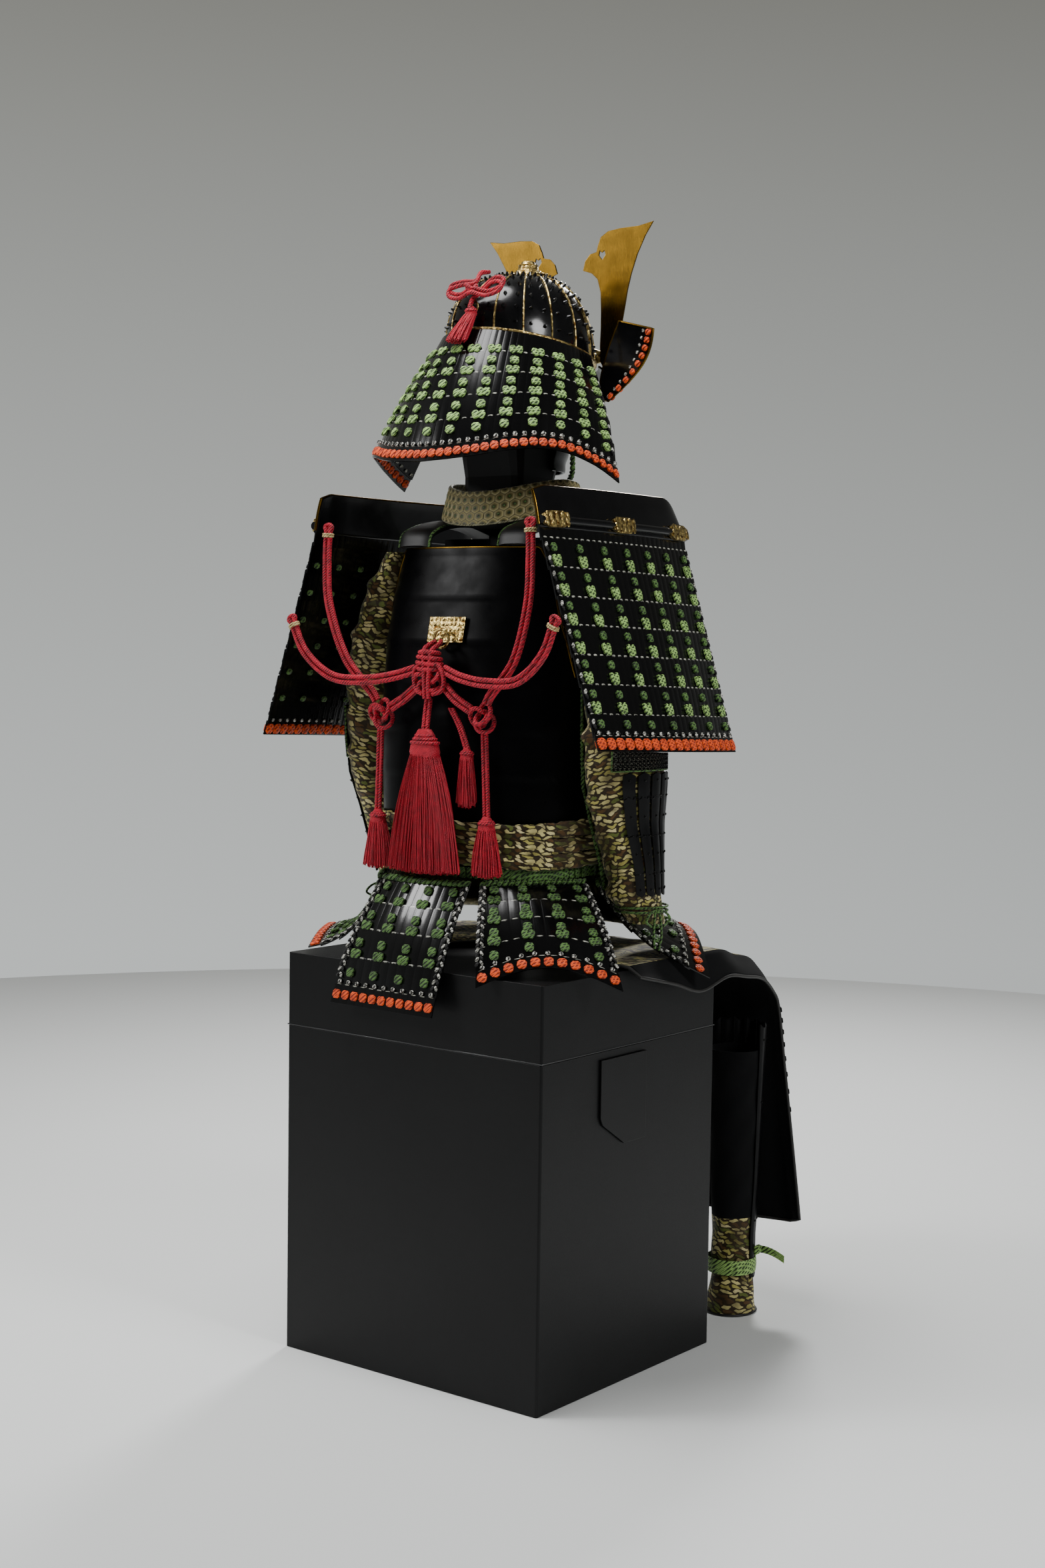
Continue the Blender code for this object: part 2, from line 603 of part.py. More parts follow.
def build_body():
    for name, turn, armhole, top in (("cuirass_back", 0, 0.945, 1.130), ("cuirass_front", 180, 0.945, 1.105)):
        degrees = np.array([-89.8, -78, -66, -54, -44, -30, -15, 0, 15, 30, 44, 54, 66, 78, 89.8])
        tops = [table(((0, top), (44, top), (54, top - 0.03), (62, top - 0.10), (74, armhole + 0.012), (90, armhole)),
                      abs(d)) for d in degrees]
        shares = [0.0, 0.14, 0.155, 0.29, 0.305, 0.44, 0.455, 0.62, 0.8, 1.0]
        steps = [0.001, 0.004, 0.001, 0.004, 0.001, 0.004, 0.001, 0.003, 0.003, 0.0045]
        if turn:
            shares, steps = [0.0, 0.3, 0.6, 0.8, 1.0], [0.003, 0.003, 0.003, 0.003, 0.0045]
        low = WAIST + 0.001
        outer = []
        for share, step in zip(shares, steps):
            outer.append([torso(math.radians(turn + d), low + (t - low) * share, step)
                          for d, t in zip(degrees, tops)])
        inner = [[torso(math.radians(turn + d), low + (t - low) * share, -SHELL_WALL + 0.001)
                  for d, t in zip(degrees, tops)] for share in (0.0, 0.3, 0.6, 1.0)]
        wall(name, "lacquer", outer, inner)

    # a lacing band hangs the skirt from the waist
    turns = 28
    angles = [2 * math.pi * k / turns for k in range(turns)]
    wall("lacing_band", "green cord",
         [[torso(a, z, 0.0035 + (0.001 if k % 2 else 0)) for k, a in enumerate(angles)] for z in (0.699, 0.6855)],
         [[torso(a, z, 0.001) for a in angles] for z in (0.699, 0.6855)], around=True)

    # the sash: three twisted wraps in one thick wall
    rows = 3 * SASH_WRAPS + 1
    outer = []
    for row in range(rows):
        z = SASH_HIGH + (SASH_LOW - SASH_HIGH) * row / (rows - 1)
        ring = []
        for k, a in enumerate(angles):
            part = row % 3
            swell = 0.009 if part in (1, 2) else 0.0045
            twist = 0.0018 * math.sin(9 * a + 2.1 * row)
            ring.append(torso(a, z + 0.002 * math.sin(2 * a), swell + 0.0072 + twist))
        outer.append(ring)
    inner = [[torso(a, z + 0.002 * math.sin(2 * a), 0.0060) for a in angles] for z in (SASH_HIGH, SASH_LOW)]
    wall("sash", "brocade", outer, inner, around=True)

    # gold plate whose ring carries the knot
    us = np.linspace(-0.031, 0.031, 5)
    zs = (1.035, 1.018, 1.001)

    def back_at(x, z, out):
        half, back, front = table(TORSO, z)
        middle = (back + front) / 2
        y = (back - front) / 2 * (1 - abs(x / half) ** TORSO_POWER) ** (1 / TORSO_POWER)
        return (x, middle + y + out, z)

    wall("ring_plate", "gilt", [[back_at(x, z, 0.008) for x in us] for z in zs],
         [[back_at(x, z, 0.0056) for x in us] for z in (zs[0], zs[-1])])

    for name, side in (("shoulder_strap_left", 1), ("shoulder_strap_right", -1)):
        path = ((0.096, 1.128), (0.090, 1.146), (0.060, 1.158), (0.020, 1.163), (-0.030, 1.160), (-0.070, 1.145),
                (-0.094, 1.122))
        rings = []
        for y, z in path:
            tilt = math.atan2(z - 1.06, y)
            up = np.array((0, math.cos(tilt), math.sin(tilt)))
            centre = np.array((side * 0.088, y, z)) + up * 0.006
            rings.append([centre + np.array((x, 0, 0)) + up * h
                          for x, h in ((-0.027, -0.003), (0.027, -0.003), (0.030, 0.001), (0.024, 0.004), (-0.024, 0.004), (-0.030, 0.001))])
        rings[0] = [point + np.array((0, 0.0, 0.004)) for point in rings[0]]
        loft(name, "dark cloth", rings)

    # standing collar round the back of the neck
    def collar(u, v):
        angle = math.radians(118 * (1 - 2 * u))
        flare = 0.010 * v
        lift = 0.018 * math.sin(angle) ** 2
        return ((0.094 + flare) * math.sin(angle), -0.010 + (0.080 + flare) * math.cos(angle), 1.206 + lift - 0.044 * v)

    us = np.linspace(0, 1, 19)
    core = (0, -0.01, 1.18)
    wall("collar", "tan leather",
         [[moved(collar, u, v, core, t) for u in us] for v, t in ((0, 0.001), (0.15, 0.003), (0.5, 0.0035), (0.85, 0.003), (1, 0.001))],
         [[moved(collar, u, v, core, -0.003) for u in us] for v in (0, 1)])


# ---- Skirt: six panels, one behind, 60 degrees apart, turned a little to the left
PANELS = (
    # name, top ends (x, y), foot ends (x, y, z), lift of the foot's middle, belly outwards and up
    ("skirt_back", (0.084, 0.1505), (-0.064, 0.1505), (0.123, 0.2225, 0.507), (-0.064, 0.2295, 0.507), 0.0, 0.008, 0.008),
    ("skirt_back_right", (-0.078, 0.1490), (-0.1600, 0.030), (-0.130, 0.221, 0.553), (-0.285, 0.110, 0.552),
     0.028, 0.006, 0.006),
    ("skirt_back_left", (0.094, 0.1480), (0.1605, 0.016), (0.182, 0.207, 0.5735), (0.300, 0.045, 0.579),
     0.005, -0.012, -0.024),
    ("skirt_right", (-0.1615, 0.014), (-0.110, -0.1270), (-0.278, -0.106, 0.544), (-0.160, -0.225, 0.592),
     0.020, -0.022, -0.008),
    ("skirt_left", (0.1615, 0.000), (0.094, -0.1290), (0.287, -0.095, 0.560), (0.170, -0.215, 0.590),
     0.020, -0.026, -0.012),
    ("skirt_front", (0.080, -0.1310), (-0.096, -0.1310), (0.098, -0.222, 0.588), (-0.112, -0.222, 0.588),
     0.004, -0.010, -0.026),
)


def build_skirt():
    for name, top_a, top_b, foot_a, foot_b, lift, belly, rise in PANELS:
        def panel(u, v):
            flat = np.array(top_a) * (1 - u) + np.array(top_b) * u
            swell = flat / np.linalg.norm(flat) * 0.012 * math.sin(math.pi * u)
            top = np.array((*(flat + swell), SKIRT_TOP - 0.0035))
            foot = np.array(foot_a) * (1 - u) + np.array(foot_b) * u
            foot = foot + np.array((0, 0, lift * math.sin(math.pi * u)))
            outward = foot[:2] / np.linalg.norm(foot[:2])
            bend = math.sin(math.pi * v)
            point = top + (foot - top) * v
            return point + bend * np.array((outward[0] * belly, outward[1] * belly, rise))

        # a panel that is hollow outside needs a closer inner skin
        laced(name, panel, (0, 0, 0.30), SKIRT_LAMES, SKIRT_KNOTS, 0.0018, band=0.13, inner_rows=3 if belly > 0 else 7)


# ---- Shoulder guards
def guard_surface(side, u, v):
    rear_top = np.array((0.1925, 0.186, 1.150))
    rear_foot = np.array((0.292, 0.185, 0.866))
    front_top = np.array((0.1925, -0.147, 1.146))
    front_foot = np.array((0.290, -0.138, 0.855))
    rear = rear_top + (rear_foot - rear_top) * v
    front = front_top + (front_foot - front_top) * v
    point = rear + (front - rear) * u
    bulge = (0.010 + 0.006 * v) * math.sin(math.pi * u)
    return np.array((side * (point[0] + bulge), point[1], point[2]))


def build_shoulder_guards():
    for word, side in (("left", 1), ("right", -1)):
        def surface(u, v):
            return guard_surface(side, u, v)

        laced("shoulder_guard_" + word, surface, (0, 0.02, 0.6), GUARD_LAMES, GUARD_KNOTS, LEATHER - 0.001, band=0.07,
              inner_rows=2)
        us = [0.0, 0.06, 0.14, 0.3, 0.5, 0.7, 0.86, 0.95, 1.0]
        outer = []
        inner = []
        for share, swell in ((0.0, 0.004), (0.07, 0.0075), (0.16, 0.0045), (0.24, 0.0080), (0.34, 0.0045), (0.7, 0.003), (1.0, 0.001)):
            row_out = []
            row_in = []
            for u in us:
                base = guard_surface(side, u, 0.0)
                top = 1.203 - 0.0 * u
                top -= 0.034 * max(0.0, (u - 0.86) / 0.14) ** 2 + 0.006 * max(0.0, (0.06 - u) / 0.06)
                z = base[2] + 0.0030 + (top - base[2] - 0.0030) * share
                lean = -0.008 * share * side
                row_out.append((base[0] + lean + side * swell, base[1], z))
                row_in.append((base[0] + lean - side * 0.004, base[1], z))
            outer.append(row_out)
            inner.append(row_in)
        wall("shoulder_board_" + word, "lacquer", outer, [inner[0], inner[4], inner[-1]])


# ---- Sleeves: round sections from shoulder to cuff
SLEEVE = (
    # height, centre x, centre y, radius across x, radius across y
    (0.622, 0.2135, -0.046, 0.0240, 0.026),
    (0.660, 0.208, -0.024, 0.0330, 0.040),
    (0.707, 0.210, -0.013, 0.0355, 0.045),
    (0.760, 0.209, -0.002, 0.0375, 0.058),
    (0.810, 0.211, 0.008, 0.0430, 0.068),
    (0.857, 0.213, 0.0125, 0.0455, 0.066),
    (0.900, 0.214, 0.018, 0.0450, 0.062),
    (0.960, 0.214, 0.024, 0.0440, 0.056),
    (1.022, 0.202, 0.028, 0.0345, 0.055),
    (1.080, 0.186, 0.026, 0.0270, 0.050),
    (1.128, 0.168, 0.022, 0.0200, 0.040),
)


def sleeve_point(side, angle, z, out=0.0):
    x, y, rx, ry = table(SLEEVE, z)
    slide = 0.035 * math.cos(angle) * (1.128 - z) * (z - 0.622)
    return np.array((side * (x + (rx + out) * math.cos(angle)), y + (ry + out) * math.sin(angle), z + slide))


def build_sleeves():
    sides = 12
    for word, side in (("left", 1), ("right", -1)):
        heights = [row[0] for row in SLEEVE][::-1]
        fine = []
        for high, low in zip(heights, heights[1:]):
            fine += [high, (high + low) / 2] if low > 0.70 else [high]
        fine.append(heights[-1])
        outer = []
        for row, z in enumerate(fine):
            fold = 0.0016 if row % 2 else -0.0010
            outer.append([sleeve_point(side, 2 * math.pi * k / sides, z,
                                       fold * math.sin(2 * math.pi * k / sides * 2 + row * 1.3) if 0 < row < len(fine) - 1 else 0.0)
                          for k in range(sides)])
        inner = [[sleeve_point(side, 2 * math.pi * k / sides, z, -CLOTH - 0.001) for k in range(sides)]
                 for z in heights]
        wall("sleeve_" + word, "brocade", outer, inner, around=True)

        def splints(u, v):
            angle = math.radians(-80 + 128 * u)
            z = 0.826 - 0.160 * v
            return sleeve_point(side, angle, z, 0.0042)

        count = 6
        us = []
        for k in range(count):
            us += [k / count + 0.012, (k + 1) / count - 0.012]
        core = (side * 0.216, -0.01, 0.76)
        outer = [[moved(splints, u, v, core, (0.0030 if 0 < i < len(us) - 1 else 0.0015)) for i, u in enumerate(us)] for v in (0, 0.33, 0.66, 1)]
        inner = [[moved(splints, u, v, core, -0.0015) for u in us] for v in (0, 0.5, 1)]
        wall("forearm_splints_" + word, "lacquer", outer, inner)


# ---- Back knot, cords and tassels
SIDE_KNOT = (0.089, 0.163, 0.902)
CENTRE_KNOT = (0.002, 0.1600, 0.955)


def build_back():
    lump("knot_centre", "crimson cord", (CENTRE_KNOT[0], CENTRE_KNOT[1] + 0.004, CENTRE_KNOT[2]), (0.022, 0.0135, 0.034), 0.14, 12, 8)
    for word, side in (("left", 1), ("right", -1)):
        knot = (side * SIDE_KNOT[0], SIDE_KNOT[1], SIDE_KNOT[2])
        lump("knot_" + word, "crimson cord", knot, (0.019, 0.0095, 0.021), 0.12, 10, 6)
        doubled("guard_cord_upper_" + word, [
            (side * 0.097, 0.1655, 0.9262), (side * 0.106, 0.167, 0.9330), (side * 0.148, 0.173, 0.978),
            (side * 0.174, 0.179, 1.050), (side * 0.178, 0.180, 1.110), (side * 0.1765, 0.179, 1.158)])
        doubled("guard_cord_lower_" + word, [
            (side * 0.0310, 0.1660, 0.962), (side * 0.060, 0.1745, 0.954), (side * 0.106, 0.1800, 0.948),
            (side * 0.163, 0.1850, 0.952), (side * 0.208, 0.1915, 0.985), (side * 0.231, 0.1945, 1.032)])
        doubled("knot_cord_" + word, [
            (side * 0.0278, 0.1635, 0.938), (side * 0.045, 0.166, 0.925), (side * 0.064, 0.1655, 0.9145)], count=4)
        tassel("tassel_" + word, (side * 0.096, 0.1610, 0.7710), 0.012, 0.018, 0.688, 4, 2.0,
               cord_to=(side * 0.091, 0.1625, 0.879))
    tassel("tassel_centre", (0.0, 0.1760, 0.884), 0.024, 0.036, 0.688, 6, 2.75, flat=0.42, deep=0.15,
           cord_to=(0.002, 0.1660, 0.9195))
    tassel("tassel_inner", (-0.060, 0.1600, 0.861), 0.010, 0.016, 0.779, 3, 1.7, flat=0.6,
           cord_to=(-0.032, 0.1600, 0.9110))


# ---- Legs
THIGH = (
    # share along, y, z, inner edge x, shoulder x, outer edge x, drop of the outer edge
    (0.00, 0.020, 0.5690, 0.090, 0.2295, 0.2500, 0.012),
    (0.14, -0.060, 0.5690, 0.060, 0.2295, 0.2515, 0.030),
    (0.26, -0.125, 0.5690, 0.030, 0.2295, 0.2515, 0.047),
    (0.40, -0.207, 0.5690, 0.020, 0.2295, 0.2450, 0.036),
    (0.50, -0.270, 0.5540, 0.018, 0.2120, 0.2360, 0.030),
    (0.61, -0.350, 0.5370, 0.018, 0.1920, 0.2150, 0.028),
    (0.68, -0.398, 0.5050, 0.018, 0.1820, 0.2040, 0.022),
    (0.73, -0.414, 0.4640, 0.018, 0.1820, 0.2040, 0.004),
    (0.82, -0.416, 0.3800, 0.018, 0.1920, 0.2150, 0.000),
    (0.92, -0.415, 0.2500, 0.018, 0.2120, 0.2350, 0.000),
    (1.00, -0.411, 0.1350, 0.018, 0.2300, 0.2530, -0.008),
)
LEG_CENTRE = (0.166, -0.356)


def build_legs():
    for word, side in (("left", 1), ("right", -1)):
        def thigh(u, v):
            y, z, inside, shoulder, outside, drop = table(THIGH, v)
            if u < 0.8:
                x = inside + (shoulder - inside) * u / 0.8
                down = 0.0
            else:
                x = shoulder + (outside - shoulder) * (u - 0.8) / 0.2
                down = drop * (u - 0.8) / 0.2
            wave = 0.005 * math.sin(14 * u) * max(0.0, v - 0.7) / 0.3
            return np.array((side * x, y + wave, z - down))

        us = [0.0, 0.1, 0.25, 0.4, 0.55, 0.7, 0.8, 0.9, 1.0]
        vs = [row[0] for row in THIGH]
        core = (side * 0.13, -0.15, 0.30)
        outer = [[moved(thigh, u, v, core, 0.0022 if 0 < i < len(us) - 1 else 0.0032) for i, u in enumerate(us)] for v in vs]
        inner = [[moved(thigh, u, v, core, -0.0008) for u in us] for v in vs]
        wall("thigh_guard_" + word, "brocade", outer, inner)

        sides = 14
        cx, cy = side * LEG_CENTRE[0], LEG_CENTRE[1]

        def leg(angle, z, out):
            radius = table(((0.0, 0.037), (0.03, 0.034), (0.06, 0.0295), (0.12, 0.0295), (0.20, 0.034), (0.45, 0.040)), z) + out
            return (cx + radius * math.cos(angle), cy + 1.05 * radius * math.sin(angle), z)

        ring = [2 * math.pi * k / sides for k in range(sides)]
        wall("gaiter_" + word, "brocade",
             [[leg(a, z, 0.0) for a in ring] for z in (0.40, 0.20, 0.12, 0.06, 0.03, 0.0)],
             [[leg(a, z, -CLOTH) for a in ring] for z in (0.40, 0.12, 0.06, 0.0)], around=True)
        # the splints run round the front from one side of the calf to the other, on the gaiter's own facets
        first = 7
        us = []
        for k in range(first, first + 8):
            us += [ring[k % sides], ring[k % sides] + math.pi / sides]
        us = us[:-1]

        def on_facet(angle, z, out):
            step = 2 * math.pi / sides
            low = math.floor(angle / step + 1e-6) * step
            share = (angle - low) / step
            a = np.array(leg(low, z, out))
            b = np.array(leg(low + step, z, out))
            return a + (b - a) * share

        outer = [[on_facet(a, z, 0.0046 if k % 2 else 0.0030) for k, a in enumerate(us)]
                 for z in (0.44, 0.20, 0.12, 0.072, 0.055)]
        inner = [[on_facet(a, z, 0.0008) for a in us] for z in (0.44, 0.20, 0.12, 0.055)]
        wall("shin_guard_" + word, "lacquer", outer, inner)
        wall("shin_tie_" + word, "green cord",
             [[leg(a, z, t) for a in ring] for z, t in ((0.084, 0.0062), (0.079, 0.0078), (0.067, 0.0078), (0.062, 0.0062))],
             [[leg(a, z, 0.0056) for a in ring] for z in (0.084, 0.062)], around=True)


clear_scene()
build_chest()
build_stand()
build_helmet()
build_body()
build_skirt()
build_shoulder_guards()
build_sleeves()
build_back()
build_legs()
print(len(bpy.context.scene.collection.objects), "pieces")
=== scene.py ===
# Samurai armour seated on its black lacquered chest, seen from behind on its right. Metres, the armour faces -Y.
import math
import random

import bmesh
import bpy
from mathutils import Matrix, Vector


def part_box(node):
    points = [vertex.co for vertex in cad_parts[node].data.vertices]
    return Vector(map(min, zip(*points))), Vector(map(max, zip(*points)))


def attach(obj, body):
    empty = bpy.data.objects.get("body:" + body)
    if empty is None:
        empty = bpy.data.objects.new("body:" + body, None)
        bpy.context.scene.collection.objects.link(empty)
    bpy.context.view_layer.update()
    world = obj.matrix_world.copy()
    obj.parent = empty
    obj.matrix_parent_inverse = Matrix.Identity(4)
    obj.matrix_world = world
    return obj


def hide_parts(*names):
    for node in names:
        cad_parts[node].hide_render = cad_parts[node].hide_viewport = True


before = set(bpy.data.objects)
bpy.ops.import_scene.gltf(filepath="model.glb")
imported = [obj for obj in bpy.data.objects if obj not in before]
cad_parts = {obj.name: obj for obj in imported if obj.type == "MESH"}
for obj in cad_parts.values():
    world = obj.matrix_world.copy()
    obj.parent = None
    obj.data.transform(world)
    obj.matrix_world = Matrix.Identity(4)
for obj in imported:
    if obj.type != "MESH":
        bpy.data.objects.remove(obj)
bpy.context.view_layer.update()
dice = random.Random(7)
print("frame loaded")


# An sRGB hex code as the linear colour that a shader takes.
def linear(code):
    parts = [int(code[start:start + 2], 16) / 255 for start in (1, 3, 5)]
    return tuple(part / 12.92 if part <= 0.04045 else ((part + 0.055) / 1.055) ** 2.4 for part in parts) + (1.0,)


def addNode(tree, kind, inputs=None, **settings):
    made = tree.nodes.new(kind)
    for key, value in settings.items():
        setattr(made, key, value)
    for key, value in (inputs or {}).items():
        if isinstance(value, bpy.types.NodeSocket):
            tree.links.new(value, made.inputs[key])
        else:
            made.inputs[key].default_value = value
    return made


def newMaterial(name, colour, roughness, metallic=0.0, sockets=None):
    material = bpy.data.materials.new(name)
    material.use_nodes = True
    shader = material.node_tree.nodes["Principled BSDF"]
    shader.inputs["Base Color"].default_value = linear(colour)
    shader.inputs["Roughness"].default_value = roughness
    shader.inputs["Metallic"].default_value = metallic
    for key, value in (sockets or {}).items():
        shader.inputs[key].default_value = value
    return material, material.node_tree, shader


def setStops(ramp, stops):
    for index, (place, colour) in enumerate(stops):
        stop = ramp.elements[index] if index < 2 else ramp.elements.new(place)
        stop.position = place
        stop.color = linear(colour)


def turns(count):  # angles evenly round a ring
    return [math.tau * k / count for k in range(count)]


def perMetre(millimetres):  # a texture's scale for features of this size on metre coordinates
    return 1000.0 / millimetres


# Urushi lacquer on iron, polished: a deep black gloss with slow ripples, a little duller where hands rub it.
def makeLacquer(name, colour="#040405", gloss=0.15, rub=0.14, specular=0.30, coat=0.12):
    material, tree, shader = newMaterial(name, colour, gloss, 0.0,
                                         {"Specular IOR Level": specular, "Coat Weight": coat, "Coat Roughness": 0.06})
    where = addNode(tree, "ShaderNodeTexCoord").outputs["Object"]
    ripple = addNode(tree, "ShaderNodeTexNoise", {"Vector": where, "Scale": perMetre(28), "Detail": 3.0})
    dust = addNode(tree, "ShaderNodeTexNoise", {"Vector": where, "Scale": perMetre(1.6), "Detail": 2.0})
    dull = addNode(tree, "ShaderNodeMapRange", {"Value": ripple.outputs["Fac"], "From Min": 0.35, "From Max": 0.75,
                                                "To Min": gloss, "To Max": gloss + rub})
    tree.links.new(dull.outputs["Result"], shader.inputs["Roughness"])
    tone = addNode(tree, "ShaderNodeMix", {0: dust.outputs["Fac"], 6: linear(colour), 7: linear("#0d0d0f")},
                   data_type="RGBA")
    tree.links.new(tone.outputs[2], shader.inputs["Base Color"])
    bump = addNode(tree, "ShaderNodeBump", {"Height": ripple.outputs["Fac"], "Strength": 0.05, "Distance": 0.001})
    tree.links.new(bump.outputs["Normal"], shader.inputs["Normal"])
    return material


# Wood under satin black lacquer: broad soft reflections, a trace of the grain and dust on it.
def makeSatinWood():
    material, tree, shader = newMaterial("satinLacqueredWood", "#0a0a0b", 0.42, 0.0, {"Specular IOR Level": 0.22})
    where = addNode(tree, "ShaderNodeTexCoord").outputs["Object"]
    long = addNode(tree, "ShaderNodeMapping", {"Vector": where, "Scale": (perMetre(60), perMetre(60), perMetre(5))})
    grain = addNode(tree, "ShaderNodeTexNoise", {"Vector": long.outputs["Vector"], "Scale": 1.0, "Detail": 5.0})
    speck = addNode(tree, "ShaderNodeTexNoise", {"Vector": where, "Scale": perMetre(1.4), "Detail": 2.0})
    cloud = addNode(tree, "ShaderNodeTexNoise", {"Vector": where, "Scale": perMetre(90), "Detail": 3.0})
    tone = addNode(tree, "ShaderNodeMix", {0: cloud.outputs["Fac"], 6: linear("#040405"), 7: linear("#0d0d0e")},
                   data_type="RGBA")
    tree.links.new(tone.outputs[2], shader.inputs["Base Color"])
    dull = addNode(tree, "ShaderNodeMapRange",
                   {"Value": speck.outputs["Fac"], "From Min": 0.3, "From Max": 0.8, "To Min": 0.36, "To Max": 0.50})
    tree.links.new(dull.outputs["Result"], shader.inputs["Roughness"])
    both = addNode(tree, "ShaderNodeMath", {0: grain.outputs["Fac"], 1: speck.outputs["Fac"]}, operation="ADD")
    bump = addNode(tree, "ShaderNodeBump", {"Height": both.outputs[0], "Strength": 0.10, "Distance": 0.0006})
    tree.links.new(bump.outputs["Normal"], shader.inputs["Normal"])
    return material


# Lacquered rawhide scales: each rounded upper edge is painted pale as a painted highlight, where the light glints on
# it.
# UV runs one unit a scale across and 0 to 1 up a lame.
def makeScales():
    material, tree, shader = newMaterial("lacqueredScales", "#060607", 0.18, 0.0,
                                         {"Specular IOR Level": 0.34, "Coat Weight": 0.15, "Coat Roughness": 0.06})
    where = addNode(tree, "ShaderNodeTexCoord")
    split = addNode(tree, "ShaderNodeSeparateXYZ", {"Vector": where.outputs["UV"]})
    wobble = addNode(tree, "ShaderNodeTexNoise", {"Vector": where.outputs["Object"], "Scale": perMetre(5), "Detail": 2.0})
    shifted = addNode(tree, "ShaderNodeMath", {0: wobble.outputs["Fac"], 1: 0.10, 2: split.outputs["Y"]},
                      operation="MULTIPLY_ADD")
    # Painted highlight: a pale grey band along the top of each lame, strongest on the crown of each scale.
    edge = addNode(tree, "ShaderNodeMapRange",
                   {"Value": shifted.outputs[0], "From Min": 1.005, "From Max": 1.045, "To Min": 0.0, "To Max": 1.0})
    turn = addNode(tree, "ShaderNodeMath", {0: split.outputs["X"], 1: math.tau}, operation="MULTIPLY")
    wave = addNode(tree, "ShaderNodeMath", {0: turn.outputs[0]}, operation="COSINE")
    crown = addNode(tree, "ShaderNodeMapRange",
                    {"Value": wave.outputs[0], "From Min": 0.3, "From Max": -0.6, "To Min": 0.0, "To Max": 1.0})
    lit = addNode(tree, "ShaderNodeMath", {0: edge.outputs["Result"], 1: crown.outputs["Result"]}, operation="MULTIPLY")
    tone = addNode(tree, "ShaderNodeMix", {0: lit.outputs[0], 6: linear("#060607"), 7: linear("#c4c4b8")}, data_type="RGBA")
    tree.links.new(tone.outputs[2], shader.inputs["Base Color"])
    joint = addNode(tree, "ShaderNodeMapRange",
                    {"Value": wave.outputs[0], "From Min": 1.0, "From Max": 0.72, "To Min": 0.0, "To Max": 1.0})
    height = addNode(tree, "ShaderNodeMath", {0: wobble.outputs["Fac"], 1: 0.3, 2: joint.outputs["Result"]},
                     operation="MULTIPLY_ADD")
    bump = addNode(tree, "ShaderNodeBump", {"Height": height.outputs[0], "Strength": 0.16, "Distance": 0.0006})
    tree.links.new(bump.outputs["Normal"], shader.inputs["Normal"])
    return material


# Braided silk cord: a slanting plait with painted shade in its grooves (the dark colour) and lighter ridges, with the
# soft sheen of silk.
def makeSilk(name, light, dark, braid=2.6, sheen=0.10, roughness=0.58):
    material, tree, shader = newMaterial(name, light, roughness, 0.0,
                                         {"Specular IOR Level": 0.35, "Sheen Weight": sheen, "Sheen Roughness": 0.4})
    where = addNode(tree, "ShaderNodeTexCoord").outputs["Object"]
    cross = []
    for turn in ((0.5, 0.6, 0.7), (-0.6, 0.4, 2.1)):
        turned = addNode(tree, "ShaderNodeMapping", {"Vector": where, "Rotation": turn})
        wave = addNode(tree, "ShaderNodeTexWave",
                       {"Vector": turned.outputs["Vector"], "Scale": perMetre(braid) / 20 * math.tau, "Distortion": 1.2,
                        "Detail": 1.0})
        cross.append(wave.outputs["Fac"])
    plait = addNode(tree, "ShaderNodeMath", {0: cross[0], 1: cross[1]}, operation="MAXIMUM")
    cloud = addNode(tree, "ShaderNodeTexNoise", {"Vector": where, "Scale": perMetre(9), "Detail": 4.0})
    mixed = addNode(tree, "ShaderNodeMath", {0: plait.outputs[0], 1: cloud.outputs["Fac"]}, operation="MULTIPLY")
    # Painted shade: the plait's grooves take the dark colour and its ridges the light one.
    spread = addNode(tree, "ShaderNodeMapRange", {"Value": mixed.outputs[0], "From Min": 0.16, "From Max": 0.50})
    tone = addNode(tree, "ShaderNodeMix", {0: spread.outputs["Result"], 6: linear(dark), 7: linear(light)},
                   data_type="RGBA")
    tree.links.new(tone.outputs[2], shader.inputs["Base Color"])
    bump = addNode(tree, "ShaderNodeBump", {"Height": plait.outputs[0], "Strength": 0.8, "Distance": 0.0012})
    tree.links.new(bump.outputs["Normal"], shader.inputs["Normal"])
    return material


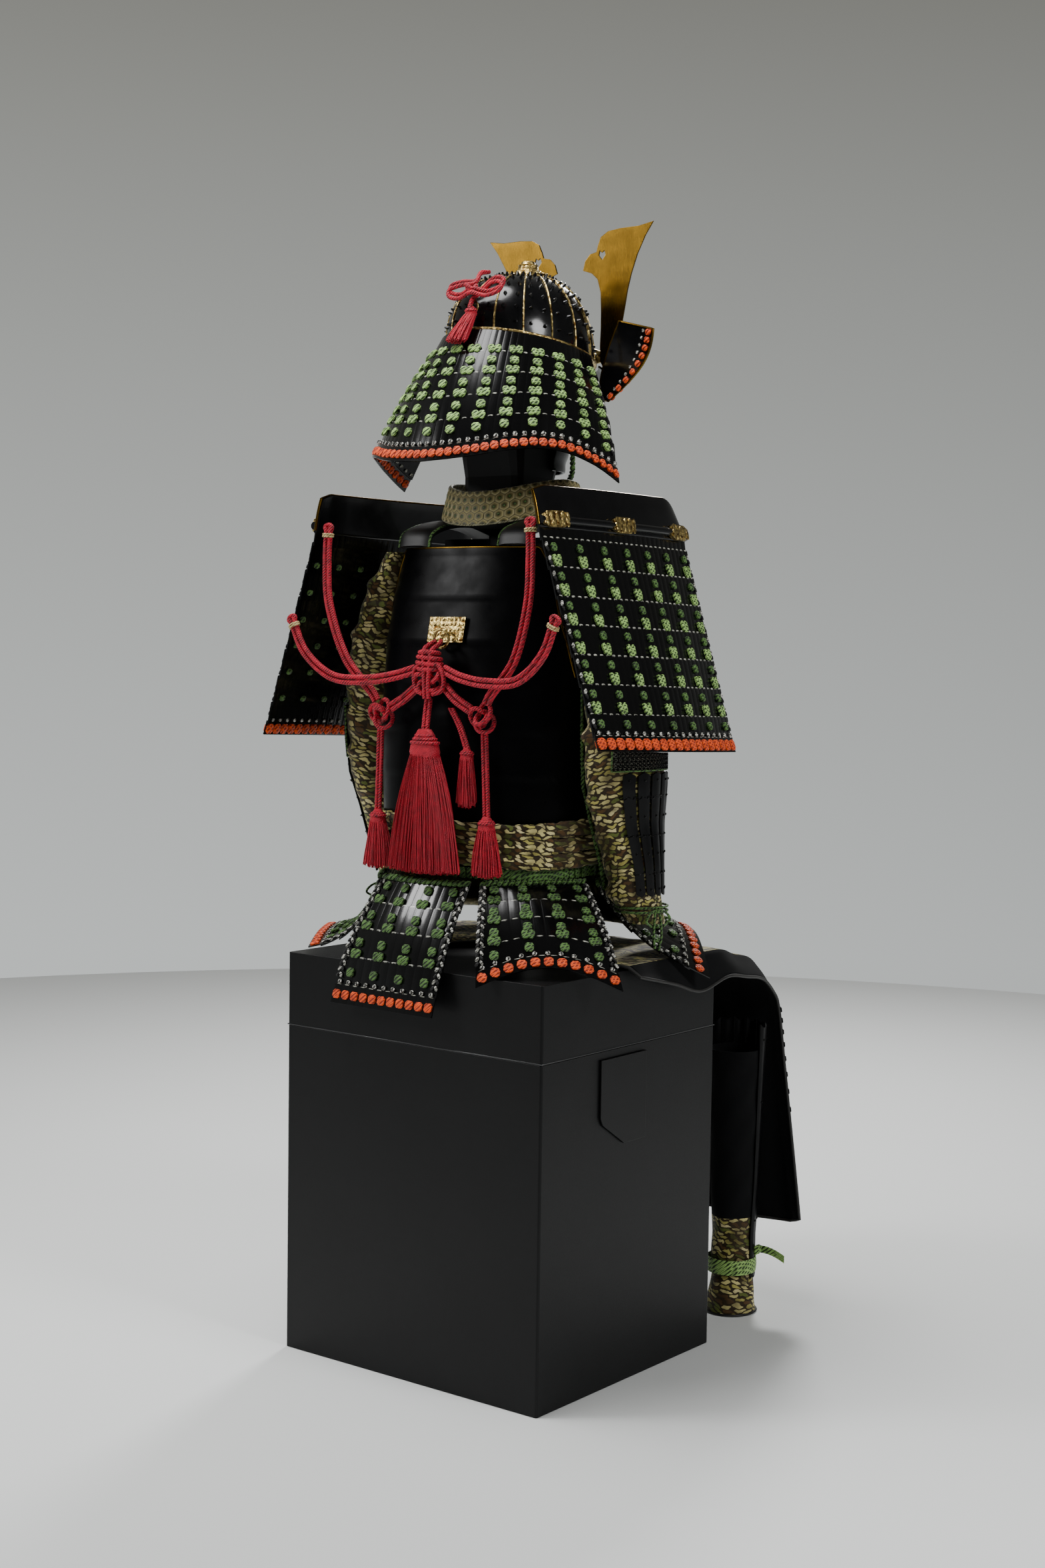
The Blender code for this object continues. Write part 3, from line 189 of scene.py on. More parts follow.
# Woven silk brocade: broken rows of slanting leaves in khaki, olive and brown on dark ground. UV is in metres of cloth.
# The threads are drawn at 0.9 mm, coarser than real, so that they show.
def makeBrocade(name="silkBrocade", leafWide=17.0, rowHigh=6.4):
    material, tree, shader = newMaterial(name, "#b9a75e", 0.66, 0.0,
                                         {"Specular IOR Level": 0.25, "Sheen Weight": 0.12, "Sheen Roughness": 0.45})
    cloth = addNode(tree, "ShaderNodeTexCoord").outputs["UV"]
    stray = addNode(tree, "ShaderNodeTexNoise", {"Vector": cloth, "Scale": perMetre(24), "Detail": 3.0})
    centred = addNode(tree, "ShaderNodeVectorMath", {0: stray.outputs["Color"], 1: (0.5, 0.5, 0.5)}, operation="SUBTRACT")
    small = addNode(tree, "ShaderNodeVectorMath", {0: centred.outputs[0], "Scale": 0.022}, operation="SCALE")
    bent = addNode(tree, "ShaderNodeVectorMath", {0: cloth, 1: small.outputs[0]}, operation="ADD")
    cells = addNode(tree, "ShaderNodeVectorMath", {0: bent.outputs[0], 1: (perMetre(leafWide), perMetre(rowHigh), 0.0)},
                    operation="MULTIPLY")
    split = addNode(tree, "ShaderNodeSeparateXYZ", {"Vector": cells.outputs[0]})
    row = addNode(tree, "ShaderNodeMath", {0: split.outputs["Y"]}, operation="FLOOR")
    start = addNode(tree, "ShaderNodeTexWhiteNoise", {"W": row.outputs[0]}, noise_dimensions="1D")
    offset = addNode(tree, "ShaderNodeMath", {0: start.outputs["Value"], 1: 3.0, 2: split.outputs["X"]},
                     operation="MULTIPLY_ADD")
    column = addNode(tree, "ShaderNodeMath", {0: offset.outputs[0]}, operation="FLOOR")
    across = addNode(tree, "ShaderNodeMath", {0: offset.outputs[0]}, operation="FRACT")
    up = addNode(tree, "ShaderNodeMath", {0: split.outputs["Y"]}, operation="FRACT")
    which = addNode(tree, "ShaderNodeCombineXYZ", {"X": column.outputs[0], "Y": row.outputs[0]})
    chance = addNode(tree, "ShaderNodeTexWhiteNoise", {"Vector": which.outputs[0]}, noise_dimensions="2D")
    x = addNode(tree, "ShaderNodeMath", {0: across.outputs[0], 1: 0.5}, operation="SUBTRACT")
    y = addNode(tree, "ShaderNodeMath", {0: up.outputs[0], 1: 0.5}, operation="SUBTRACT")
    slope = addNode(tree, "ShaderNodeMapRange", {"Value": chance.outputs["Value"], "To Min": 0.15, "To Max": 0.95})
    lean = addNode(tree, "ShaderNodeMath", {0: x.outputs[0], 1: slope.outputs["Result"], 2: y.outputs[0]},
                   operation="MULTIPLY_ADD")
    wide = addNode(tree, "ShaderNodeMath", {0: x.outputs[0], 1: 2.05}, operation="MULTIPLY")
    high = addNode(tree, "ShaderNodeMath", {0: lean.outputs[0], 1: 2.5}, operation="MULTIPLY")
    wideSquare = addNode(tree, "ShaderNodeMath", {0: wide.outputs[0], 1: wide.outputs[0]}, operation="MULTIPLY")
    highSquare = addNode(tree, "ShaderNodeMath", {0: high.outputs[0], 1: high.outputs[0]}, operation="MULTIPLY")
    far = addNode(tree, "ShaderNodeMath", {0: wideSquare.outputs[0], 1: highSquare.outputs[0]}, operation="ADD")
    leafMask = addNode(tree, "ShaderNodeMapRange",
                       {"Value": far.outputs[0], "From Min": 0.98, "From Max": 0.70, "To Min": 0.0, "To Max": 1.0})
    tones = addNode(tree, "ShaderNodeValToRGB", {"Fac": chance.outputs["Value"]})
    tones.color_ramp.interpolation = "CONSTANT"
    stops = ((0.0, "#d2c684"), (0.34, "#b0a75a"), (0.55, "#5f6a2c"), (0.72, "#5a3f1e"), (0.88, "#dccf97"))
    setStops(tones.color_ramp, stops)
    patch = addNode(tree, "ShaderNodeTexNoise", {"Vector": cloth, "Scale": perMetre(34), "Detail": 3.0})
    fade = addNode(tree, "ShaderNodeMapRange",
                   {"Value": patch.outputs["Fac"], "From Min": 0.36, "From Max": 0.56, "To Min": 0.25, "To Max": 1.0})
    worn = addNode(tree, "ShaderNodeMath", {0: leafMask.outputs["Result"], 1: fade.outputs["Result"]}, operation="MULTIPLY")
    thread = addNode(tree, "ShaderNodeTexWave",
                     {"Vector": cloth, "Scale": perMetre(0.9) / 20 * math.tau, "Distortion": 0.6},
                     bands_direction="DIAGONAL")
    twoTone = addNode(tree, "ShaderNodeMix", {0: thread.outputs["Fac"], 6: linear("#150f06"), 7: linear("#3a2b12")},
                      data_type="RGBA")
    tone = addNode(tree, "ShaderNodeMix", {0: worn.outputs[0], 6: twoTone.outputs[2], 7: tones.outputs["Color"]},
                   data_type="RGBA")
    tree.links.new(tone.outputs[2], shader.inputs["Base Color"])
    height = addNode(tree, "ShaderNodeMath", {0: thread.outputs["Fac"], 1: 0.35, 2: worn.outputs[0]},
                     operation="MULTIPLY_ADD")
    bump = addNode(tree, "ShaderNodeBump", {"Height": height.outputs[0], "Strength": 0.6, "Distance": 0.0007})
    tree.links.new(bump.outputs["Normal"], shader.inputs["Normal"])
    return material


# Gilt copper, cast and chased: a crowd of small raised curls with dark patina between them.
def makeGilt():
    material, tree, shader = newMaterial("chasedGiltCopper", "#c99a3f", 0.32, 1.0)
    where = addNode(tree, "ShaderNodeTexCoord").outputs["Object"]
    curls = addNode(tree, "ShaderNodeTexVoronoi", {"Vector": where, "Scale": perMetre(4.2)}, feature="SMOOTH_F1")
    fine = addNode(tree, "ShaderNodeTexNoise", {"Vector": where, "Scale": perMetre(2.0), "Detail": 3.0})
    mixed = addNode(tree, "ShaderNodeMath", {0: fine.outputs["Fac"], 1: 0.5, 2: curls.outputs["Distance"]},
                    operation="MULTIPLY_ADD")
    dark = addNode(tree, "ShaderNodeMapRange", {"Value": mixed.outputs[0], "From Min": 0.45, "From Max": 0.95})
    tone = addNode(tree, "ShaderNodeMix", {0: dark.outputs["Result"], 6: linear("#e6cd84"), 7: linear("#5b3b14")},
                   data_type="RGBA")
    tree.links.new(tone.outputs[2], shader.inputs["Base Color"])
    bump = addNode(tree, "ShaderNodeBump", {"Height": mixed.outputs[0], "Strength": 0.8, "Distance": 0.0012}, invert=True)
    tree.links.new(bump.outputs["Normal"], shader.inputs["Normal"])
    return material


# Sheet brass, brushed along its length and lightly tarnished: streaked highlights.
def makeBrass():
    material, tree, shader = newMaterial("brushedBrass", "#c9a24a", 0.30, 1.0)
    where = addNode(tree, "ShaderNodeTexCoord").outputs["Object"]
    long = addNode(tree, "ShaderNodeMapping", {"Vector": where, "Scale": (perMetre(0.9), perMetre(0.9), perMetre(26))})
    brush = addNode(tree, "ShaderNodeTexNoise", {"Vector": long.outputs["Vector"], "Scale": 1.0, "Detail": 3.0})
    tarnish = addNode(tree, "ShaderNodeTexNoise", {"Vector": where, "Scale": perMetre(22), "Detail": 4.0})
    dull = addNode(tree, "ShaderNodeMapRange", {"Value": brush.outputs["Fac"], "To Min": 0.14, "To Max": 0.34})
    tree.links.new(dull.outputs["Result"], shader.inputs["Roughness"])
    tone = addNode(tree, "ShaderNodeMix", {0: tarnish.outputs["Fac"], 6: linear("#80611f"), 7: linear("#41300f")},
                   data_type="RGBA")
    tree.links.new(tone.outputs[2], shader.inputs["Base Color"])
    bump = addNode(tree, "ShaderNodeBump", {"Height": brush.outputs["Fac"], "Strength": 0.12, "Distance": 0.0003})
    tree.links.new(bump.outputs["Normal"], shader.inputs["Normal"])
    return material


# Tanned leather: fine pebbled grain with creases, dull and a little uneven in colour.
def makeLeather(name, colour, deep, roughness=0.6):
    material, tree, shader = newMaterial(name, colour, roughness)
    where = addNode(tree, "ShaderNodeTexCoord").outputs["Object"]
    pebble = addNode(tree, "ShaderNodeTexVoronoi", {"Vector": where, "Scale": perMetre(1.5)}, feature="DISTANCE_TO_EDGE")
    cloud = addNode(tree, "ShaderNodeTexNoise", {"Vector": where, "Scale": perMetre(14), "Detail": 5.0})
    tone = addNode(tree, "ShaderNodeMix", {0: cloud.outputs["Fac"], 6: linear(deep), 7: linear(colour)}, data_type="RGBA")
    tree.links.new(tone.outputs[2], shader.inputs["Base Color"])
    bump = addNode(tree, "ShaderNodeBump", {"Height": pebble.outputs["Distance"], "Strength": 0.35, "Distance": 0.0004})
    tree.links.new(bump.outputs["Normal"], shader.inputs["Normal"])
    return material


# Black cotton lining: plain weave, drawn at 1.1 mm so that it shows, nearly without shine.
def makeLining():
    material, tree, shader = newMaterial("blackCottonLining", "#0a0a0b", 0.9, 0.0,
                                         {"Specular IOR Level": 0.12, "Sheen Weight": 0.02})
    cloth = addNode(tree, "ShaderNodeTexCoord").outputs["UV"]
    warp = addNode(tree, "ShaderNodeTexWave", {"Vector": cloth, "Scale": perMetre(1.1) / 20 * math.tau},
                   bands_direction="X")
    weft = addNode(tree, "ShaderNodeTexWave", {"Vector": cloth, "Scale": perMetre(1.1) / 20 * math.tau},
                   bands_direction="Y")
    weave = addNode(tree, "ShaderNodeMath", {0: warp.outputs["Fac"], 1: weft.outputs["Fac"]}, operation="MULTIPLY")
    cloud = addNode(tree, "ShaderNodeTexNoise", {"Vector": cloth, "Scale": perMetre(60), "Detail": 4.0})
    tone = addNode(tree, "ShaderNodeMix", {0: cloud.outputs["Fac"], 6: linear("#060607"), 7: linear("#0f1011")},
                   data_type="RGBA")
    tree.links.new(tone.outputs[2], shader.inputs["Base Color"])
    bump = addNode(tree, "ShaderNodeBump", {"Height": weave.outputs[0], "Strength": 0.4, "Distance": 0.0004})
    tree.links.new(bump.outputs["Normal"], shader.inputs["Normal"])
    return material


# Iron mail sewn on cloth: rows of 5 mm rings, blackened, over dark cloth.
def makeMail():
    material, tree, shader = newMaterial("blackenedMail", "#5a5a55", 0.38, 0.85)
    cloth = addNode(tree, "ShaderNodeTexCoord").outputs["UV"]
    rings = addNode(tree, "ShaderNodeTexVoronoi", {"Vector": cloth, "Scale": perMetre(5), "Randomness": 0.12})
    turned = addNode(tree, "ShaderNodeMath", {0: rings.outputs["Distance"], 1: 0.34}, operation="SUBTRACT")
    wire = addNode(tree, "ShaderNodeMath", {0: turned.outputs[0]}, operation="ABSOLUTE")
    shown = addNode(tree, "ShaderNodeMapRange", {"Value": wire.outputs[0], "From Min": 0.15, "From Max": 0.04})
    tone = addNode(tree, "ShaderNodeMix", {0: shown.outputs["Result"], 6: linear("#0b0b0a"), 7: linear("#8d8c80")},
                   data_type="RGBA")
    tree.links.new(tone.outputs[2], shader.inputs["Base Color"])
    bump = addNode(tree, "ShaderNodeBump", {"Height": shown.outputs["Result"], "Strength": 0.8, "Distance": 0.001})
    tree.links.new(bump.outputs["Normal"], shader.inputs["Normal"])
    return material


lacquer = makeLacquer("urushiLacquer")
greyLacquer = makeLacquer("greyedUrushiLacquer", "#050505", 0.28, 0.16, 0.12, 0.0)
cuirassLacquer = makeLacquer("oldUrushiLacquer", "#030303", 0.26, 0.16, 0.045, 0.0)
satinWood = makeSatinWood()
scaleLacquer = makeScales()
greenSilk = makeSilk("greenBraidedSilk", "#9cc46c", "#1d3311", 4.2)
deepGreenSilk = makeSilk("deepGreenBraidedSilk", "#557a3a", "#10200a", 4.2)
orangeSilk = makeSilk("orangeBraidedSilk", "#f4560f", "#8a2204", 4.2)
whiteSilk = makeSilk("whiteBraidedSilk", "#d2d1c8", "#4a4942", 3.4)
blackSilk = makeSilk("blackBraidedSilk", "#0d0d0d", "#020202")
crimsonSilk = makeSilk("crimsonBraidedSilk", "#cf0a30", "#5c0313")
tasselSilk = makeSilk("crimsonTasselSilk", "#d60d31", "#92081f", braid=1.4)
goldSilk = makeSilk("paleGoldBoundSilk", "#d8c48c", "#7c6430")
brocade = makeBrocade()
gilt = makeGilt()
brass = makeBrass()
darkLeather = makeLeather("darkLeather", "#0c0b0b", "#040404", 0.5)
lining = makeLining()
mail = makeMail()
print("materials made")


# A finished piece from a bmesh: it rides on the set and stands for its CAD nodes.
def pieceFrom(name, bm, materials, nodes, sharp=35):
    mesh = bpy.data.meshes.new(name)
    bm.to_mesh(mesh)
    bm.free()
    return dress(name, mesh, materials, nodes, sharp)


def dress(name, mesh, materials, nodes, sharp=35):
    for material in materials:
        mesh.materials.append(material)
    mesh.shade_smooth()
    mesh.set_sharp_from_angle(angle=math.radians(sharp))
    piece = bpy.data.objects.new(name, mesh)
    bpy.context.scene.collection.objects.link(piece)
    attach(piece, "root")
    if nodes:
        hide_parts(*nodes)
    return piece


# A grid laid on surface(u, v), u across and v down, with UV in the sizes given.
def layGrid(bm, surface, across, down, size=(1.0, 1.0), core=None, material=0, thick=0.0):
    uv = bm.loops.layers.uv.verify()
    made = bmesh.ops.create_grid(bm, x_segments=across, y_segments=down, size=0.5)["verts"]
    place = {vert: (vert.co.x + 0.5, 0.5 - vert.co.y) for vert in made}
    faces = list(dict.fromkeys(face for vert in made for face in vert.link_faces))
    for face in faces:
        face.material_index = material
        for loop in face.loops:
            u, v = place[loop.vert]
            loop[uv].uv = (u * size[0], (1 - v) * size[1])
    for vert, (u, v) in place.items():
        vert.co = surface(u, v)
    for face in faces:
        face.normal_update()
    if core is not None:
        out = sum(face.normal.dot(face.calc_center_median() - Vector(core)) for face in faces)
        if out < 0:
            bmesh.ops.reverse_faces(bm, faces=faces)
            for face in faces:
                face.normal_update()
    if thick:
        for vert in made:
            vert.normal_update()
        bmesh.ops.solidify(bm, geom=faces, thickness=thick)
    return made


def normalAt(surface, u, v, core):
    step = 0.004
    down = Vector(surface(u, min(v + step, 1))) - Vector(surface(u, max(v - step, 0)))
    across = Vector(surface(min(u + step, 1), v)) - Vector(surface(max(u - step, 0), v))
    normal = down.cross(across).normalized()
    return normal if normal.dot(Vector(surface(u, v)) - Vector(core)) > 0 else -normal


def moved(surface, u, v, core, by):
    return Vector(surface(u, v)) + by * normalAt(surface, u, v, core)


# The place of a small shape on a surface: X across, Y up the surface, Z out of it.
def seatOn(surface, u, v, core, proud=0.0, turn=0.0, size=(1.0, 1.0, 1.0), plumb=False):
    normal = normalAt(surface, u, v, core)
    up = Vector((0, 0, 1)) if plumb else Vector(surface(u, max(v - 0.004, 0))) - Vector(surface(u, min(v + 0.004, 1)))
    up = (up - normal * up.dot(normal)).normalized()
    across = up.cross(normal)
    axes = Matrix((across, up, normal)).transposed().to_4x4()
    place = Matrix.Translation(Vector(surface(u, v)) + proud * normal) @ axes
    return place @ Matrix.Rotation(turn, 4, "Z") @ Matrix.Diagonal((*size, 1.0))


def stamp(bm, shape, place):
    copy = shape.copy()
    copy.transform(place)
    bm.from_mesh(copy)
    bpy.data.meshes.remove(copy)


def smallShape(name, build, material):
    bm = bmesh.new()
    bm.loops.layers.uv.verify()
    build(bm)
    for face in bm.faces:
        face.material_index = material
        face.smooth = True
    mesh = bpy.data.meshes.new(name)
    bm.to_mesh(mesh)
    bm.free()
    return mesh


def pillow(bm):  # a soft-cornered block of cord, 1 x 1 x 1
    bmesh.ops.create_cube(bm, size=1.0)
    bmesh.ops.bevel(bm, geom=bm.edges[:], offset=0.24, offset_type="OFFSET", segments=1, profile=0.5, affect="EDGES",
                    material=-1)


def roundBead(bm):
    bmesh.ops.create_icosphere(bm, subdivisions=1, radius=0.5)


def smoothLine(points, count, closed=False):
    points = [Vector(point) for point in points]
    if closed:
        points = [points[-1], *points, points[0], points[1]]
    else:
        points = [2 * points[0] - points[1], *points, 2 * points[-1] - points[-2]]
    fine = []
    for index in range(1, len(points) - 2):
        a, b, c, d = points[index - 1:index + 3]
        for step in range(16):
            t = step / 16
            fine.append(0.5 * (2 * b + (c - a) * t + (2 * a - 5 * b + 4 * c - d) * t**2 + (3 * b - a - 3 * c + d) * t**3))
    fine.append(points[-2])
    along = [0.0]
    for before, after in zip(fine, fine[1:]):
        along.append(along[-1] + (after - before).length)
    line = []
    at = 0
    for step in range(count):
        wanted = along[-1] * step / (count - 1)
        while at < len(along) - 2 and along[at + 1] < wanted:
            at += 1
        span = max(along[at + 1] - along[at], 1e-9)
        line.append(fine[at].lerp(fine[at + 1], min(1.0, (wanted - along[at]) / span)))
    return line


# Round cords along lines, as one mesh. Each line is (points, closed) and radii may thin a line's ends.
def cordMesh(name, lines, radius, roundness=2, thin=None):
    curve = bpy.data.curves.new(name, "CURVE")
    curve.dimensions = "3D"
    curve.bevel_depth = radius
    curve.bevel_resolution = roundness
    curve.use_fill_caps = True
    for points, closed in lines:
        spline = curve.splines.new("POLY")
        spline.points.add(len(points) - 1)
        spline.use_cyclic_u = closed
        for index, (point, place) in enumerate(zip(spline.points, points)):
            point.co = (*place, 1.0)
            if thin:
                point.radius = thin(index / (len(points) - 1))
    carrier = bpy.data.objects.new(name + "Line", curve)
    mesh = bpy.data.meshes.new_from_object(carrier)
    bpy.data.objects.remove(carrier)
    bpy.data.curves.remove(curve)
    mesh.materials.clear()
    mesh.name = name
    return mesh


def roundEdge(across, down):  # places round the edge of a surface
    top = [(k / across, 0.0) for k in range(across)]
    right = [(1.0, k / down) for k in range(down)]
    return top + right + [(1 - u, 1.0) for u, v in top] + [(0.0, 1 - v) for u, v in right]


def keepMaterials(bm, last):  # shapes stamped from another piece take this piece's last material
    for face in bm.faces:
        face.material_index = min(face.material_index, last)


def addMesh(bm, mesh, material=0):
    for polygon in mesh.polygons:
        polygon.material_index = material
    bm.from_mesh(mesh)
    bpy.data.meshes.remove(mesh)


def table(rows, at):
    rows = sorted(rows)
    if at <= rows[0][0]:
        return rows[0][1:]
    for low, high in zip(rows, rows[1:]):
        if at <= high[0]:
            share = (at - low[0]) / (high[0] - low[0])
            return [a + (b - a) * share for a, b in zip(low[1:], high[1:])]
    return rows[-1][1:]


# The same table with rounded passages from row to row.
def curvedTable(rows, at):
    rows = sorted(rows)
    low = max(index for index in range(len(rows) - 1) if index == 0 or rows[index][0] <= at)
    a, b = rows[low], rows[low + 1]
    before, after = rows[max(low - 1, 0)], rows[min(low + 2, len(rows) - 1)]
    span = b[0] - a[0]
    t = min(1.0, max(0.0, (at - a[0]) / span))
    values = []
    for column in range(1, len(a)):
        leave = (b[column] - before[column]) / (b[0] - before[0]) * span
        arrive = (after[column] - a[column]) / (after[0] - a[0]) * span
        start = (2 * t**3 - 3 * t**2 + 1) * a[column] + (t**3 - 2 * t**2 + t) * leave
        values.append(start + (3 * t**2 - 2 * t**3) * b[column] + (t**3 - t**2) * arrive)
    return values


def lathe(bm, profile, centre, steps=32, material=0, squash=1.0):  # profile: radius, height
    verts = [bm.verts.new((radius, 0.0, height)) for radius, height in profile]
    edges = [bm.edges.new(pair) for pair in zip(verts, verts[1:])]
    before = len(bm.faces)
    made = bmesh.ops.spin(bm, geom=verts + edges, cent=(0, 0, 0), axis=(0, 0, 1), angle=math.tau, steps=steps,
                          use_merge=True)
    bm.faces.ensure_lookup_table()
    faces = bm.faces[before:]
    verts = list(dict.fromkeys(vert for face in faces for vert in face.verts))
    for face in faces:
        face.material_index = material
    bmesh.ops.remove_doubles(bm, verts=verts, dist=1e-6)
    verts = [vert for vert in verts if vert.is_valid]
    bmesh.ops.transform(bm, matrix=Matrix.Translation(centre) @ Matrix.Diagonal((1, squash, 1, 1)), verts=verts)
    bmesh.ops.recalc_face_normals(bm, faces=[face for face in faces if face.is_valid])
    return verts


# Chest and stand: the CAD solids, welded and given soft arrises
chestLook = {"arris": 0.0014, "lip": 0.0009}


def softenArris(node, width, material):
    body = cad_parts[node]
    weld = body.modifiers.new("weld", "WELD")
    weld.merge_threshold = 1e-5
    bevel = body.modifiers.new("arris", "BEVEL")
    bevel.width = width
    bevel.segments = 2
    bevel.limit_method = "ANGLE"
    bevel.angle_limit = math.radians(40)
    body.data.materials.clear()
    body.data.materials.append(material)


for node in ("chest_body", "chest_lid", "stand"):
    softenArris(node, chestLook["arris"], satinWood)
softenArris("chest_flap", 0.0006, satinWood)
# A lighter lacquer cord round the lid's foot: a painted highlight where the lid's lower edge catches the light.
low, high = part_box("chest_lid")
corners = ((low[0], low[1]), (high[0], low[1]), (high[0], high[1]), (low[0], high[1]))
lip = [Vector((x, y, low[2] + 0.0010)) for x, y in corners]
lipMesh = cordMesh("lidLip", [(lip, True)], chestLook["lip"], 2)
dress("lidLip", lipMesh, [makeLacquer("lidEdgeHighlightLacquer", "#2a2b2c", 0.3, 0.2, 0.6)], [], 60)
for node in ("horn_left", "horn_right"):
    softenArris(node, 0.0005, brass)
softenArris("horn_socket", 0.0008, gilt)
print("chest, stand and horns finished")

# Laced lames and the small shapes stamped on them
pillowGreen = smallShape("greenKnot", pillow, 1)
pillowDeep = smallShape("deepGreenKnot", pillow, 5)
pillowOrange = smallShape("orangeKnot", pillow, 2)
beadWhite = smallShape("whiteBead", roundBead, 3)
beadBlack = smallShape("blackBead", roundBead, 4)
lacedMaterials = [scaleLacquer, greenSilk, orangeSilk, whiteSilk, blackSilk, deepGreenSilk]

lameLook = {"proud": 0.0034, "foot": 0.0006, "scallop": 0.0016, "plate": 0.0018, "knotDeep": 0.0052}


# A tie of one or more short runs of braid side by side, each leaning out at its top.
def knotPair(bm, surface, u, v, core, wide, high, proud, shape, strands=2, lean=0.0):
    for strand in range(strands):
        side = strand - (strands - 1) / 2
        seat = seatOn(surface, u, v, core, proud, 0.0, plumb=True)
        away = -lean * (1 if side > 0 else -1 if side < 0 else 0)
        shift = Matrix.Translation((side * wide / strands, 0, 0)) @ Matrix.Rotation(away, 4, "Z")
        stamp(bm, shape, seat @ shift @ Matrix.Diagonal((wide / strands * 1.08, high, lameLook["knotDeep"], 1)))


def lacedPiece(name, surface, core, look, nodes):
    bm = bmesh.new()
    tops, band, scales = look["tops"], look["band"], look["scales"]
    ends = [*tops[1:], 1 - band, 1.0]
    for index, (top, foot) in enumerate(zip([*tops, 1 - band], ends)):
        last = index == len(tops)

        def lame(u, s, top=top, foot=foot if last else min(1.0, foot + 0.012), last=last):
            bulge = abs(math.sin(math.pi * scales * u)) ** 0.6
            v = top + (foot - top) * s
            if s == 0 and not last and top > 0:
                v -= lameLook["scallop"] * bulge / look["height"]
            rounded = 0.00018 * math.sin(math.pi * scales * u) ** 2
            proud = lameLook["proud"] + (lameLook["foot"] - lameLook["proud"]) * s + rounded
            return moved(surface, u, max(v, 0), core, proud if not last else look["bandProud"])

        # The top lame's UV stops at 0.9, so that its upper edge takes no painted highlight.
        layGrid(bm, lame, scales * 6 if not last else 40, 3, (scales, 1.0 if index else 0.9), core, 0, lameLook["plate"])
    for v, wide, high, strands, tone in look["rows"]:
        for knot in range(look["knots"]):
            u = look["edge"] + (1 - 2 * look["edge"]) * knot / (look["knots"] - 1)
            knotPair(bm, surface, u, v, core, wide, high, 0.0040, (pillowGreen, pillowDeep)[tone], strands,
                     0.16 if strands > 1 else 0.0)
            # The knots on the inner face take the deep green silk: painted shade for the dim inner face.
            if look.get("inside") and strands > 1:
                stamp(bm, pillowDeep, seatOn(surface, u, v, core, -0.0024) @ Matrix.Diagonal((0.010, 0.008, 0.004, 1)))
            if look.get("inside") and knot in (0, look["knots"] - 1):
                for step in (-1, 1):
                    seat = seatOn(surface, 0.013 if knot == 0 else 0.987, v + step * 0.010, core, 0.0036, 0.35 * step,
                                  (0.0052, 0.0090, 0.0040), True)
                    stamp(bm, (beadWhite, beadBlack)[step > 0], seat)
    row = 1 - band * 0.46
    count = look["orange"]
    for block in range(count):
        u = (block + 0.5) / count
        size = (look["width"] / count * 0.84, look["orangeHigh"], 0.0046)
        turn = dice.uniform(-0.06, 0.06)
        stamp(bm, pillowOrange, seatOn(surface, u, row, core, look["bandProud"] + 0.0008, turn, size, True))
        dot = seatOn(surface, u, 1 - band * look.get("dots", 1.12), core, look["bandProud"] + 0.0010, turn * 4,
                     (0.0072, 0.0070, 0.0040), True)
        stamp(bm, beadWhite, dot)
        stamp(bm, beadBlack, dot @ Matrix.Translation((0.08, 0.0, 0.36)) @ Matrix.Diagonal((0.34, 0.80, 0.40, 1)))
        if look.get("inside"):
            stamp(bm, pillowOrange, seatOn(surface, u, row, core, look["bandProud"] - 0.0026, 0.0, size, True))
            stamp(bm, beadWhite, seatOn(surface, u, 1 - band * 1.12, core, -0.0020, 0.5, (0.0060, 0.0060, 0.0030)))
    if look.get("braidedSides"):
        steps = int(look["height"] / 0.0100)
        for side in (0.024, 0.976):
            for step in range(steps):
                v = 0.05 + (step + 0.5) / steps * (0.95 - band * 1.3)
                for half in (-1, 1):
                    shape = beadWhite if (step + (half > 0)) % 2 else beadBlack
                    seat = seatOn(surface, side + half * 0.0027 / look["width"], v, core, 0.0042, half * 0.5,
                                  (0.0044, 0.0090, 0.0042))
                    stamp(bm, shape, seat)
    if look.get("rope"):
        steps = int(look["width"] * look["ropeShare"] / 0.0078)
        for step in range(steps):
            seat = seatOn(surface, (step + 0.5) / steps, 0.030, core, 0.0050, -0.75, (0.0072, 0.0150, 0.0080))
            stamp(bm, look["rope"], seat)
    return pieceFrom(name, bm, lacedMaterials, nodes, 50)


# Helmet rim and bowl
helmetLook = {"halfWidth": 0.095, "halfDepth": 0.115, "centre": (0.0, -0.021, 1.405), "tilt": 9.4, "top": 1.512,
              "plates": 16, "rivets": 6, "rivet": (0.0068, 0.0068, 0.0064), "ridge": 0.0013}
tilt = math.tan(math.radians(helmetLook["tilt"]))
rimY = helmetLook["centre"][1]


def rimPoint(angle, grow=0.0):
    y = rimY + (helmetLook["halfDepth"] + grow) * math.cos(angle)
    return Vector(((helmetLook["halfWidth"] + grow) * math.sin(angle), y, helmetLook["centre"][2] + tilt * (y - rimY)))


def bowlPoint(angle, rise, inside=0.0):
    lift = rise * math.radians(84)
    x, y, z = rimPoint(angle, -inside)
    share = math.cos(lift) ** 0.80
    topY = rimY - 0.014
    return Vector((x * share, topY + (y - topY) * share, z + (helmetLook["top"] - inside - z) * math.sin(lift) ** 0.92))


def bowlGrid(u, v):
    return bowlPoint(math.tau * u, 1 - v)


def rivetShape(shape):
    bmesh.ops.create_cone(shape, cap_ends=True, segments=8, radius1=0.5, radius2=0.16, depth=1.0)


